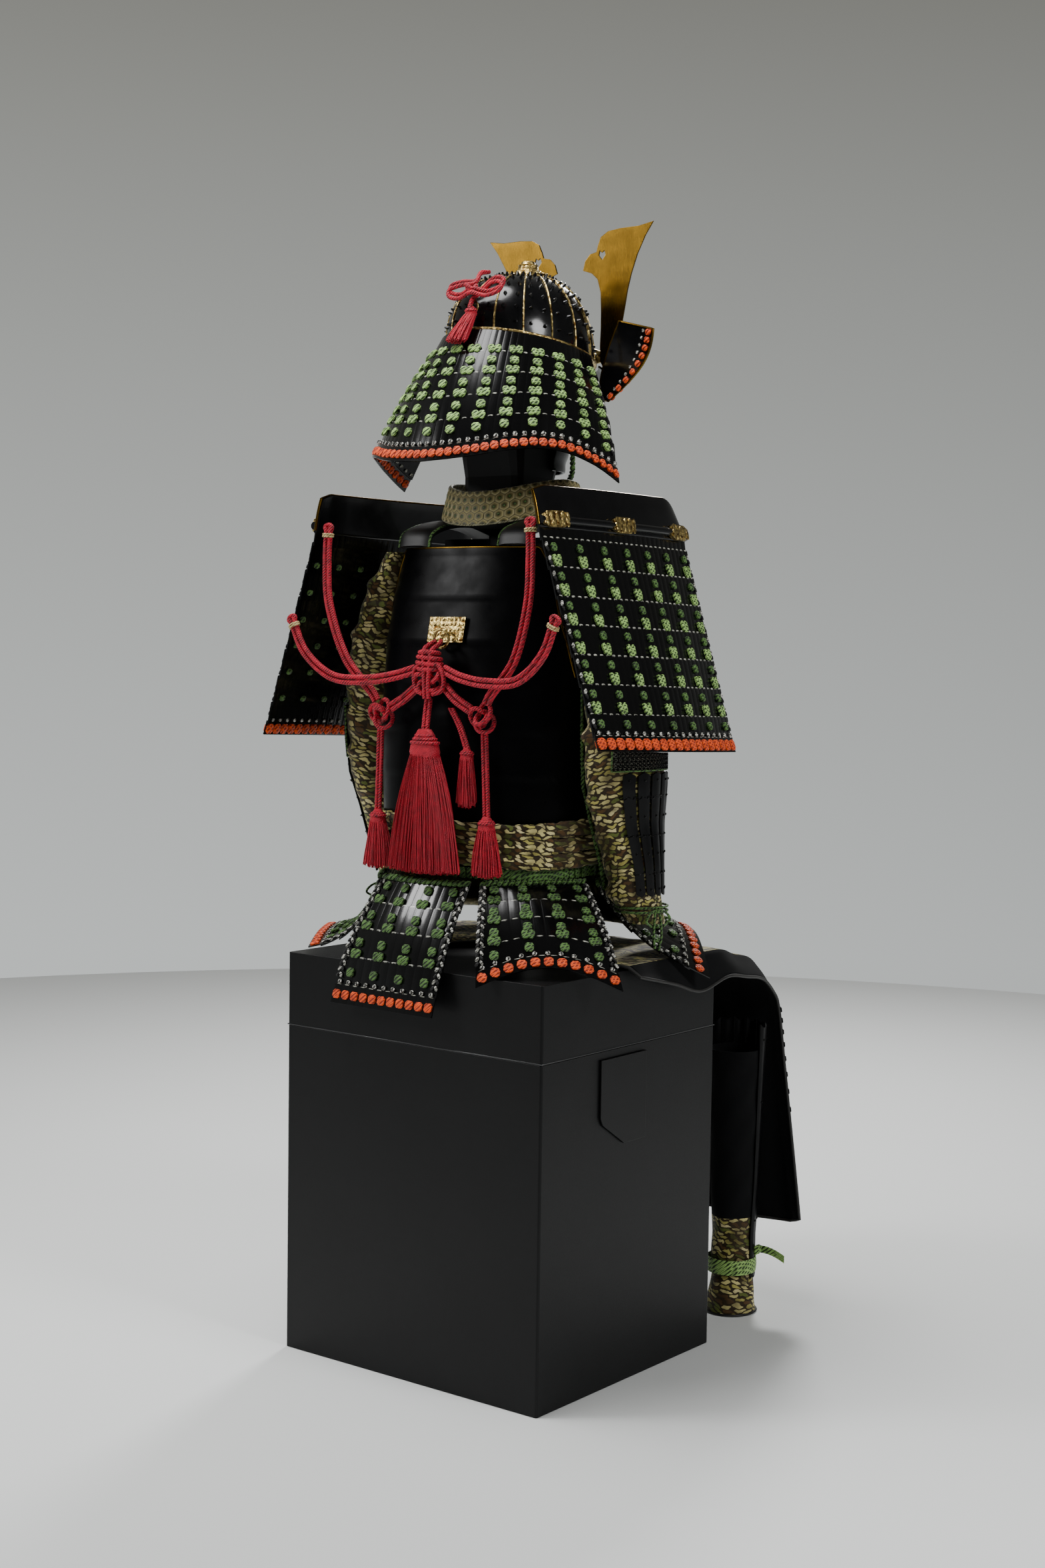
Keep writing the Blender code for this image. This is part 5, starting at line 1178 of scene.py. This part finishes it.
guardTops = (0.0, 0.052, 0.184, 0.316, 0.443, 0.575, 0.707, 0.839)
# The single knots take the deep green silk (tone 1) as painted shade, since they lie in shade; the double knots take
# the lighter green.
guardRows = [(top + 0.103, 0.0142, 0.0162, 2, 0) for top in guardTops[1:7]]
guardRows += [(top + 0.042, 0.0098, 0.0112, 1, 1) for top in guardTops[1:]]
guardLook = {"tops": guardTops, "rows": guardRows, "band": 0.07, "scales": 28, "knots": 7, "edge": 0.050, "height": 0.30,
             "width": 0.33, "bandProud": 0.0030, "inside": True, "orange": 19, "orangeHigh": 0.0150}
giltPlate = smallShape("giltPlate", pillow, 2)
giltPetal = smallShape("giltPetal", roundBead, 2)
boardLook = {"top": 1.203, "thick": 0.0058, "fittings": (0.082, 0.500, 0.925), "roll": 0.0058}
for word, side in (("left", 1), ("right", -1)):
    lacedPiece("shoulderGuard_" + word, lambda u, v, side=side: guardSurface(side, u, v), (0, 0.02, 0.6), guardLook,
               ["shoulder_guard_" + word])

    def board(u, v, side=side):
        share = 1 - v
        base = guardSurface(side, u, 0.0)
        top = boardLook["top"] - 0.034 * max(0.0, (u - 0.86) / 0.14) ** 2 - 0.006 * max(0.0, (0.06 - u) / 0.06)
        z = base.z + 0.0030 + (top - base.z - 0.0030) * share
        out = 0.0048 - 0.0034 * share**3
        return Vector((base.x + side * (out - 0.008 * share), base.y, z))

    core = (0, 0.02, 1.17)
    bm = bmesh.new()
    layGrid(bm, board, 64, 16, (0.33, 0.05), core, 0, boardLook["thick"])
    edge = [board(k / 60, 0) for k in range(61)]
    addMesh(bm, cordMesh("boardRim", [([point + Vector((-side * 0.0025, 0, 0.0)) for point in edge], False)], 0.0013, 3), 1)
    join = [board(k / 60, 1.0) + Vector((-side * 0.0020, 0, -0.0015)) for k in range(61)]
    addMesh(bm, cordMesh("boardJoin", [(join, False)], 0.0027, 3), 0)
    ends = [([board(end, k / 10) + Vector((-side * 0.0022, 0, 0)) for k in range(11)], False) for end in (0.0, 1.0)]
    addMesh(bm, cordMesh("boardEnds", ends, 0.0022, 3), 1)
    roll = [board(k / 60, 0.86) + Vector((side * 0.0012, 0, 0)) for k in range(61)]
    addMesh(bm, cordMesh("boardRoll", [(roll, False)], boardLook["roll"], 5), 0)
    for at in boardLook["fittings"]:
        stamp(bm, giltPlate, seatOn(board, at, 0.86, core, 0.0034, 0.0, (0.0500, 0.0215, 0.0090)))
        for petal in range(15):
            seat = seatOn(board, at + (petal % 5 - 2) * 0.0285, 0.86 + (petal // 5 - 1) * 0.115, core, 0.0074, 0.9 * petal,
                          (0.0074, 0.0094, 0.0028))
            stamp(bm, giltPetal, seat)
    pieceFrom("shoulderBoard_" + word, bm, [lacquer, brass, gilt], ["shoulder_board_" + word], 40)
print("shoulder guards made")

# Sleeves
sleeveRows = ((0.622, 0.2135, -0.046, 0.0240, 0.026), (0.660, 0.208, -0.024, 0.0330, 0.040),
              (0.707, 0.210, -0.013, 0.0355, 0.045), (0.760, 0.209, -0.002, 0.0375, 0.058),
              (0.810, 0.211, 0.008, 0.0430, 0.068), (0.857, 0.213, 0.0125, 0.0455, 0.066),
              (0.900, 0.214, 0.018, 0.0450, 0.062), (0.960, 0.214, 0.024, 0.0440, 0.056),
              (1.022, 0.202, 0.028, 0.0345, 0.055), (1.080, 0.186, 0.026, 0.0270, 0.050),
              (1.128, 0.168, 0.022, 0.0200, 0.040))
# height, direction round the arm in degrees, reach round in degrees, depth, slope of each crease
creases = ((1.085, 60, 50, 0.0022, 0.12), (1.050, 120, 60, 0.0028, -0.10), (1.010, 40, 70, 0.0024, 0.15),
           (0.985, 170, 60, 0.0030, -0.12), (0.940, 90, 55, 0.0024, 0.10), (0.925, 200, 60, 0.0030, 0.18),
           (0.895, 30, 60, 0.0032, -0.16), (0.880, 130, 70, 0.0028, 0.14), (0.850, 250, 60, 0.0030, -0.15),
           (0.842, 80, 50, 0.0026, 0.12), (0.790, 110, 60, 0.0022, 0.2), (0.740, 150, 50, 0.0020, -0.2),
           (0.700, 70, 60, 0.0020, 0.15), (0.665, 140, 70, 0.0022, -0.12), (0.975, 280, 70, 0.0026, 0.1),
           (0.905, 310, 60, 0.0026, -0.14))


def sleevePoint(side, angle, z, out=0.0):
    x, y, rx, ry = table(sleeveRows, z)
    slide = 0.035 * math.cos(angle) * (1.128 - z) * (z - 0.622)
    return Vector((side * (x + (rx + out) * math.cos(angle)), y + (ry + out) * math.sin(angle), z + slide))


def sleeveFold(angle, z):
    fold = 0.0
    for height, way, reach, depth, slope in creases:
        off = (math.degrees(angle) - way + 180) % 360 - 180
        near = math.exp(-(off / reach) ** 2 * 1.6)
        line = (z - height - slope * math.radians(off) * 0.03) / 0.0085
        fold += depth * near * (math.exp(-line * line) - 0.55 * math.exp(-(line - 1.7) ** 2))
    return fold


splintLook = {"count": 6, "top": 0.826, "high": 0.160, "proud": 0.0042}
for word, side in (("left", 1), ("right", -1)):
    def sleeve(u, v, side=side):
        angle = math.tau * u
        z = 1.128 - (1.128 - 0.622) * v
        return sleevePoint(side, angle, z, 2.2 * sleeveFold(angle, z) if 0 < v < 1 else 0.0)

    bm = bmesh.new()
    layGrid(bm, sleeve, 72, 150, (0.30, 0.52), (side * 0.21, 0.01, 0.88), 0, 0.0020)
    bmesh.ops.remove_doubles(bm, verts=bm.verts, dist=1e-6)
    body = pieceFrom("sleeveCloth_" + word, bm, [brocade], ["sleeve_" + word], 80)

    bm = bmesh.new()
    core = (side * 0.216, -0.01, 0.76)
    for splint in range(splintLook["count"]):
        left = (splint + 0.09) / splintLook["count"]
        right = (splint + 0.91) / splintLook["count"]

        def strip(u, v, left=left, right=right, side=side):
            share = left + (right - left) * u
            angle = math.radians(-80 + 128 * share)
            z = splintLook["top"] - splintLook["high"] * v + 0.004 * math.sin(math.pi * u) * (1 - 2 * v)
            return sleevePoint(side, angle, z, splintLook["proud"] + 0.0013 * math.sin(math.pi * u))

        layGrid(bm, strip, 5, 20, (0.015, 0.16), core, 0, 0.0024)
        for at in (0.06, 0.35, 0.65, 0.94):
            stamp(bm, beadWhite, seatOn(strip, 0.5, at, core, 0.0004, 0, (0.0040, 0.0040, 0.0022)))
    for at in (0.18, 0.5, 0.82):
        for link in range(26):
            share = (link + 0.5) / 26
            z = splintLook["top"] - splintLook["high"] * at
            centre = sleevePoint(side, math.radians(-84 + 136 * share), z, 0.0040)
            ring = []
            turned = link % 2
            outward = (centre - Vector(core)).normalized()
            for k in range(8):
                a = math.tau * k / 8
                along = Vector((-outward.y, outward.x, 0)).normalized()
                other = Vector((0, 0, 1)) if not turned else outward
                ring.append(centre + 0.0030 * (math.cos(a) * along + math.sin(a) * other * 0.8))
            addMesh(bm, cordMesh("mailLink", [(ring, True)], 0.0006, 0), 1)
    keepMaterials(bm, 1)
    pieceFrom("forearmSplints_" + word, bm, [greyLacquer, mail], ["forearm_splints_" + word], 50)

    def elbow(u, v, side=side):
        return sleevePoint(side, math.radians(-62 + 124 * u), 0.905 - 0.072 * v, 0.0040)

    bm = bmesh.new()
    core = (side * 0.213, 0.012, 0.86)
    layGrid(bm, elbow, 32, 16, (0.105, 0.072), core, 0, 0.0014)
    for row in range(12):
        for column in range(20):
            shift = 0.5 * (row % 2)
            seat = seatOn(elbow, (column + 0.5 + shift) / 21, (row + 0.5) / 12, core, 0.0006)
            ring = [(seat @ Vector((0.0026 * math.cos(a), 0.0030 * math.sin(a), 0.0004 * math.sin(2 * a))))
                    for a in turns(7)]
            addMesh(bm, cordMesh("mailRing", [(ring, True)], 0.00055, 0), 1)
    edge = [elbow(u, v) for u, v in roundEdge(10, 6)]
    addMesh(bm, cordMesh("mailEdge", [(edge, True)], 0.0014, 2), 2)
    pieceFrom("elbowMail_" + word, bm, [mail, greyLacquer, deepGreenSilk], [], 60)

    # Green ties: the sleeve's lacing along its inner rear edge and the loops at the wrist
    rear = []
    for k in range(60):
        z = 1.0 - 0.33 * k / 59
        rear.append(sleevePoint(side, math.radians(146), z, 0.0050))
    lines = twistedLines(rear, 0.0014, 30)
    loop = [sleevePoint(side, math.tau * k / 48, 0.640, 0.0060) for k in range(48)]
    loop2 = [point + Vector((0, 0, 0.0062)) for point in loop]
    lines += [(loop, True), (loop2, True)]
    knotAt = sleevePoint(side, math.radians(20), 0.643, 0.0085)
    for lean, reach, drop in ((1, 0.030, -0.020), (-1, 0.026, -0.022), (0.6, 0.020, -0.050), (-0.4, 0.016, -0.054)):
        bowLine = [knotAt, knotAt + Vector((side * 0.004, lean * reach * 0.6, drop * 0.1)),
                   knotAt + Vector((side * 0.006, lean * reach, drop * 0.6)),
                   knotAt + Vector((side * 0.004, lean * reach * 0.5, drop))]
        lines.append((smoothLine(bowLine, 20), False))
    bm = bmesh.new()
    addMesh(bm, cordMesh("sleeveTies", lines, 0.0017, 2), 0)
    pieceFrom("sleeveTies_" + word, bm, [deepGreenSilk], [], 60)
print("sleeves made")

# The great knot, its side knots and the cords to the shoulder guards
cordLook = {"radius": 0.0034, "apart": 0.0038}
knotLook = {"thread": 0.0032, "wraps": 4}


# A cord that laces p times round and q times through itself, lying flat on the back.
def lacedKnot(centre, wide, high, deep, p, q, count=150):
    line = []
    for k in range(count):
        t = math.tau * k / count
        r = 1 + 0.46 * math.cos(q * t)
        line.append(Vector((centre[0] + wide / 1.46 * r * math.cos(p * t), centre[1] + deep * math.sin(q * t),
                            centre[2] + high / 1.46 * r * math.sin(p * t))))
    return line


bm = bmesh.new()
centre = Vector((0.002, 0.1640, 0.955))
lines = []
for wrap in range(knotLook["wraps"]):
    z = 0.986 - 0.0068 * wrap
    wide = (0.0150, 0.0185, 0.0200, 0.0175)[wrap]
    lines.append(([Vector((centre.x + wide * math.cos(a), centre.y + 0.0020 + 0.0090 * math.sin(a),
                           z + 0.0016 * math.sin(a + wrap))) for a in turns(44)], True))
lines.append((lacedKnot((centre.x, centre.y + 0.0035, 0.9500), 0.0225, 0.0190, 0.0056, 2, 5), True))
for half in (-1, 1):
    lines.append((smoothLine([(half * 0.0045, 0.1500, 1.002), (half * 0.0085, 0.1600, 0.997),
                              (half * 0.0065, 0.1725, 0.989), (half * 0.0050, 0.1740, 0.970),
                              (half * 0.0035, 0.1745, 0.945), (half * 0.0036, 0.1730, 0.925)], 40), False))
    lines.append((smoothLine([(half * 0.0150, 0.1700, 0.972), (half * 0.0240, 0.1710, 0.962),
                              (half * 0.0260, 0.1690, 0.948), (half * 0.0215, 0.1690, 0.936),
                              (half * 0.0080, 0.1720, 0.931)], 40), False))
addMesh(bm, cordMesh("knotLines", lines, knotLook["thread"], 3), 0)
pieceFrom("knotCentre", bm, [crimsonSilk], ["knot_centre"], 70)

for word, side in (("left", 1), ("right", -1)):
    bm = bmesh.new()
    knot = (side * 0.089, 0.1635, 0.902)
    lines = [(lacedKnot(knot, 0.0205, 0.0205, 0.0050, 2, 3), True)]
    lines.append(([Vector((knot[0] + 0.0085 * math.cos(a), knot[1] + 0.0030 + 0.0070 * math.sin(a),
                           knot[2] + 0.0085 * math.sin(a) * side)) for a in turns(30)], True))
    addMesh(bm, cordMesh("sideKnot", lines, 0.0031, 3), 0)
    pieceFrom("knot_" + word + "Laced", bm, [crimsonSilk], ["knot_" + word], 70)

    routes = {
        "guard_cord_upper_": [(side * 0.097, 0.1655, 0.9200), (side * 0.106, 0.167, 0.9330), (side * 0.148, 0.173, 0.978),
                              (side * 0.174, 0.179, 1.050), (side * 0.178, 0.180, 1.110), (side * 0.1765, 0.179, 1.158)],
        "guard_cord_lower_": [(side * 0.0250, 0.1665, 0.964), (side * 0.060, 0.1745, 0.954), (side * 0.106, 0.1800, 0.948),
                              (side * 0.163, 0.1850, 0.952), (side * 0.208, 0.1915, 0.985), (side * 0.231, 0.1945, 1.032)],
        "knot_cord_": [(side * 0.0240, 0.1635, 0.941), (side * 0.045, 0.166, 0.925), (side * 0.070, 0.1655, 0.9115)],
    }
    for node, route in routes.items():
        line = smoothLine(route, 60)
        lines = []
        for half in (-1, 1):
            strand = []
            for index, point in enumerate(line):
                ahead = (line[min(index + 1, 59)] - line[max(index - 1, 0)]).normalized()
                across = ahead.cross(Vector((0, 1, 0))).normalized()
                strand.append(point + half * cordLook["apart"] * across)
            lines.append((strand, False))
        bm = bmesh.new()
        addMesh(bm, cordMesh("doubled", lines, cordLook["radius"], 4), 0)
        if node != "knot_cord_":
            ahead = (line[-1] - line[-3]).normalized()
            across = ahead.cross(Vector((0, 1, 0))).normalized()
            eye = [line[-1] + ahead * (0.0045 * math.sin(a) - 0.0015) + across * 0.0070 * math.cos(a) for a in turns(24)]
            addMesh(bm, cordMesh("eye", [(eye, True)], 0.0026, 2), 0)
            bind = [line[-4] + Vector((0, 0.0050 * math.sin(a), 0)) + across * 0.0082 * math.cos(a) for a in turns(24)]
            binds = [([point + ahead * shift for point in bind], True) for shift in (0.0, 0.0028)]
            addMesh(bm, cordMesh("bind", binds, 0.0015, 2), 1)
        pieceFrom(node.replace("_c", "C").replace("_l", "L").replace("_u", "U") + word, bm, [crimsonSilk, goldSilk],
                  [node + word], 70)
print("knots and cords made")

# Legs
thighRows = ((0.00, 0.020, 0.5690, 0.090, 0.2295, 0.2500, 0.012), (0.14, -0.060, 0.5690, 0.060, 0.2295, 0.2515, 0.030),
             (0.26, -0.125, 0.5690, 0.030, 0.2295, 0.2515, 0.047), (0.40, -0.207, 0.5690, 0.020, 0.2295, 0.2450, 0.036),
             (0.50, -0.270, 0.5540, 0.018, 0.2120, 0.2360, 0.030), (0.61, -0.350, 0.5370, 0.018, 0.1920, 0.2150, 0.028),
             (0.68, -0.398, 0.5050, 0.018, 0.1820, 0.2040, 0.022), (0.73, -0.414, 0.4640, 0.018, 0.1820, 0.2040, 0.004),
             (0.82, -0.416, 0.3800, 0.018, 0.1920, 0.2150, 0.000), (0.92, -0.415, 0.2500, 0.018, 0.2120, 0.2350, 0.000),
             (1.00, -0.411, 0.1350, 0.018, 0.2300, 0.2530, -0.008))
legLook = {"centre": (0.166, -0.356), "splints": 7, "border": 0.80, "clothTop": 0.150}
pipingLeather = makeLeather("darkPipingLeather", "#262523", "#0f0e0e")
lapPlate = smallShape("lapPlate", pillow, 1)
tieKnot = smallShape("tieKnot", pillow, 0)
legRows = ((0.0, 0.037), (0.03, 0.034), (0.06, 0.0295), (0.12, 0.0295), (0.20, 0.034), (0.45, 0.040))
for word, side in (("left", 1), ("right", -1)):
    def thigh(u, v, side=side):
        y, z, inside, shoulder, outside, drop = curvedTable(thighRows, v)
        if u < 0.8:
            x, down = inside + (shoulder - inside) * u / 0.8, 0.0
        else:
            x, down = shoulder + (outside - shoulder) * (u - 0.8) / 0.2, drop * (u - 0.8) / 0.2
        wave = 0.005 * math.sin(14 * u) * max(0.0, v - 0.7) / 0.3
        return Vector((side * x, y + wave, z - down))

    bm = bmesh.new()
    core = (side * 0.13, -0.15, 0.30)
    layGrid(bm, lambda u, v: moved(thigh, u, v, core, 0.0018 + 0.0006 * math.sin(31 * u + 2 * math.sin(9 * v))), 40, 90,
            (0.24, 0.70), core, 0)
    uvLayer = bm.loops.layers.uv.active
    for face in bm.faces:
        u = sum(loop[uvLayer].uv.x for loop in face.loops) / len(face.loops) / 0.24
        v = 1 - sum(loop[uvLayer].uv.y for loop in face.loops) / len(face.loops) / 0.70
        face.material_index = 1 if u > legLook["border"] or u < 0.06 or v > 0.95 else 0
    guard = pieceFrom("thighGuard_" + word, bm, [brocade, lining, lining], ["thigh_guard_" + word], 80)
    wall = guard.modifiers.new("lining", "SOLIDIFY")
    wall.thickness = 0.0024
    wall.offset = -1.0
    wall.material_offset = 2
    wall.material_offset_rim = 2

    bm = bmesh.new()
    border = [moved(thigh, u, v, core, 0.0004) for u, v in roundEdge(16, 60)]
    addMesh(bm, cordMesh("thighPiping", [(border, True)], 0.0024, 3), 0)
    for row in range(8):  # iron splints sewn on the lap of the guard
        v = 0.74 + 0.020 * row
        for column in range(9):
            seat = seatOn(thigh, (column + 0.5) / 9, v, core, 0.0026, 0.0, (0.0190, 0.0120, 0.0018))
            stamp(bm, lapPlate, seat)
    pieceFrom("thighTrim_" + word, bm, [pipingLeather, greyLacquer], [], 50)

    cx, cy = side * legLook["centre"][0], legLook["centre"][1]

    def leg(u, v, cx=cx, cy=cy, out=0.0, top=0.40):
        angle = math.tau * u
        z = top * (1 - v)
        radius = table(legRows, z)[0] + out
        radius += 0.0007 * math.sin(3 * angle + 60 * z) + 0.0006 * math.sin(5 * angle - 90 * z) if z > 0.001 else 0.0
        return Vector((cx + radius * math.cos(angle), cy + 1.05 * radius * math.sin(angle), z))

    bm = bmesh.new()
    layGrid(bm, leg, 48, 60, (0.21, 0.40), (cx, cy, 0.2), 0, 0.0020)
    for face in bm.faces:  # black cloth above the brocade foot
        face.material_index = 2 if face.calc_center_median().z > legLook["clothTop"] else 0
    hem = [leg(k / 48, 1.0, out=0.0006) + Vector((0, 0, 0.0018)) for k in range(48)]
    bmesh.ops.remove_doubles(bm, verts=bm.verts, dist=1e-6)
    addMesh(bm, cordMesh("hem", [(hem, True)], 0.0017, 2), 1)
    gaiter = pieceFrom("gaiter_" + word + "Cloth", bm, [brocade, darkLeather, lining], ["gaiter_" + word], 80)

    bm = bmesh.new()
    core = (cx, cy, 0.25)
    for splint in range(legLook["splints"]):
        def bar(u, v, splint=splint, cx=cx, cy=cy):
            angle = math.radians(178 + 184 * (splint + 0.06 + 0.88 * u) / legLook["splints"])
            z = 0.440 - (0.440 - 0.052) * v - (0.006 * math.sin(math.pi * u) * (v - 0.5) * -2)
            radius = table(legRows, z)[0] + 0.0034 + 0.0022 * math.sin(math.pi * u)
            return Vector((cx + radius * math.cos(angle), cy + 1.05 * radius * math.sin(angle), z))

        layGrid(bm, bar, 5, 44, (0.017, 0.39), core, 0, 0.0026)
        for at in (0.05, 0.30, 0.55, 0.78):
            stamp(bm, beadWhite, seatOn(bar, 0.5, at, core, 0.0004, 0, (0.0042, 0.0042, 0.0022)))
    keepMaterials(bm, 1)
    pieceFrom("shinGuard_" + word + "Splints", bm, [greyLacquer, mail], ["shin_guard_" + word], 50)

    def tie(u, v, cx=cx, cy=cy):
        radius = table(legRows, 0.073)[0] + 0.0066
        x, y = math.cos(math.tau * u), math.sin(math.tau * u)
        crown = 0.0010 * math.sin(math.pi * v)
        return Vector((cx + (radius + crown) * x, cy + (1.05 * radius + crown) * y, 0.084 - 0.022 * v))

    bm = bmesh.new()
    layGrid(bm, tie, 56, 6, (0.24, 0.022), (cx, cy, 0.07), 0, 0.0012)
    bmesh.ops.remove_doubles(bm, verts=bm.verts, dist=1e-6)

    def looseEnd(u, v, cx=cx, cy=cy, side=side):
        return Vector((cx + side * (0.030 + 0.046 * v), cy - 0.0200 - 0.006 * v,
                       0.100 + 0.004 * math.sin(math.pi * v) - 0.010 * v - 0.011 * u))

    layGrid(bm, looseEnd, 3, 14, (0.011, 0.05), (cx, cy - 0.3, 0.1), 0, 0.0011)
    knotPlace = Matrix.Translation((cx + side * 0.0335, cy - 0.0180, 0.0935)) @ Matrix.Rotation(side * 0.5, 4, "Y")
    stamp(bm, tieKnot, knotPlace @ Matrix.Diagonal((0.010, 0.014, 0.016, 1)))
    pieceFrom("shinTie_" + word + "Silk", bm, [greenSilk], ["shin_tie_" + word], 50)
print("legs made")

# Camera, light and floor
camera = bpy.data.objects.new("camera", bpy.data.cameras.new("camera"))
bpy.context.scene.collection.objects.link(camera)
yaw, pitch, roll = (math.radians(value) for value in (37.92674, -3.67099, 0.8115968))
ahead = Vector((math.sin(yaw) * math.cos(pitch), -math.cos(yaw) * math.cos(pitch), math.sin(pitch)))
right = ahead.cross(Vector((0, 0, 1))).normalized()
up = right.cross(ahead)
right, up = math.cos(roll) * right + math.sin(roll) * up, -math.sin(roll) * right + math.cos(roll) * up
turned = Matrix((right, up, -ahead)).transposed().to_4x4()
camera.matrix_world = Matrix.Translation((-1.88261604, 2.37754334, 0.99795922)) @ turned
camera.data.lens = 49.57
camera.data.sensor_width = 36
camera.data.clip_start = 0.05
bpy.context.scene.camera = camera

studioLook = {"floorRadius": 3.6, "low": "#d0d4d3", "high": "#83837d", "lit": 1.04, "shaded": 0.33}
paper = newMaterial("palePaperBackdrop", "#e8eae9", 0.85)[0]
studio = bmesh.new()
bmesh.ops.create_circle(studio, cap_ends=True, segments=96, radius=studioLook["floorRadius"])
bmesh.ops.transform(studio, matrix=Matrix.Translation((0, 0, -0.0005)), verts=studio.verts)
mesh = bpy.data.meshes.new("studioFloor")
studio.to_mesh(mesh)
studio.free()
mesh.materials.append(paper)
floor = bpy.data.objects.new("studioFloor", mesh)
bpy.context.scene.collection.objects.link(floor)

# The studio wall: pale grey near the floor, darker above and on the side away from the lamps
world = bpy.data.worlds.new("studio")
world.use_nodes = True
tree = world.node_tree
way = addNode(tree, "ShaderNodeSeparateXYZ", {"Vector": addNode(tree, "ShaderNodeTexCoord").outputs["Generated"]})
rise = addNode(tree, "ShaderNodeMapRange", {"Value": way.outputs["Z"], "From Min": -0.14, "From Max": 0.30})
tone = addNode(tree, "ShaderNodeMix",
               {0: rise.outputs["Result"], 6: linear(studioLook["low"]), 7: linear(studioLook["high"])}, data_type="RGBA")
tree.links.new(tone.outputs[2], tree.nodes["Background"].inputs["Color"])
side = addNode(tree, "ShaderNodeVectorMath",
               {0: tree.nodes["Texture Coordinate"].outputs["Generated"], 1: (-0.903, 0.430, 0.0)}, operation="DOT_PRODUCT")
shade = addNode(tree, "ShaderNodeMapRange",
                {"Value": side.outputs["Value"], "From Min": -1.0, "From Max": 0.0, "To Min": studioLook["lit"],
                 "To Max": studioLook["shaded"]})
tree.links.new(shade.outputs["Result"], tree.nodes["Background"].inputs["Strength"])
bpy.context.scene.world = world

# Place, aim, size and power of each soft box
lights = {"overhead": ((0.3, 0.5, 3.0), (0, 0, 0.8), 1.3, 62), "left": ((1.9, 2.0, 2.3), (0, 0, 0.9), 0.9, 40),
          "right": ((-2.6, 0.2, 2.2), (0, 0, 0.9), 0.9, 44), "front": ((1.0, -2.3, 2.5), (-0.1, -0.3, 0.5), 0.7, 62)}
for name, (place, aim, size, power) in lights.items():
    light = bpy.data.lights.new(name, "AREA")
    light.shape = "DISK"
    light.size = size
    light.energy = power
    lamp = bpy.data.objects.new(name, light)
    direction = Vector(aim) - Vector(place)
    lamp.matrix_world = Matrix.Translation(place) @ direction.to_track_quat("-Z", "Y").to_matrix().to_4x4()
    bpy.context.scene.collection.objects.link(lamp)
print("camera and light set")
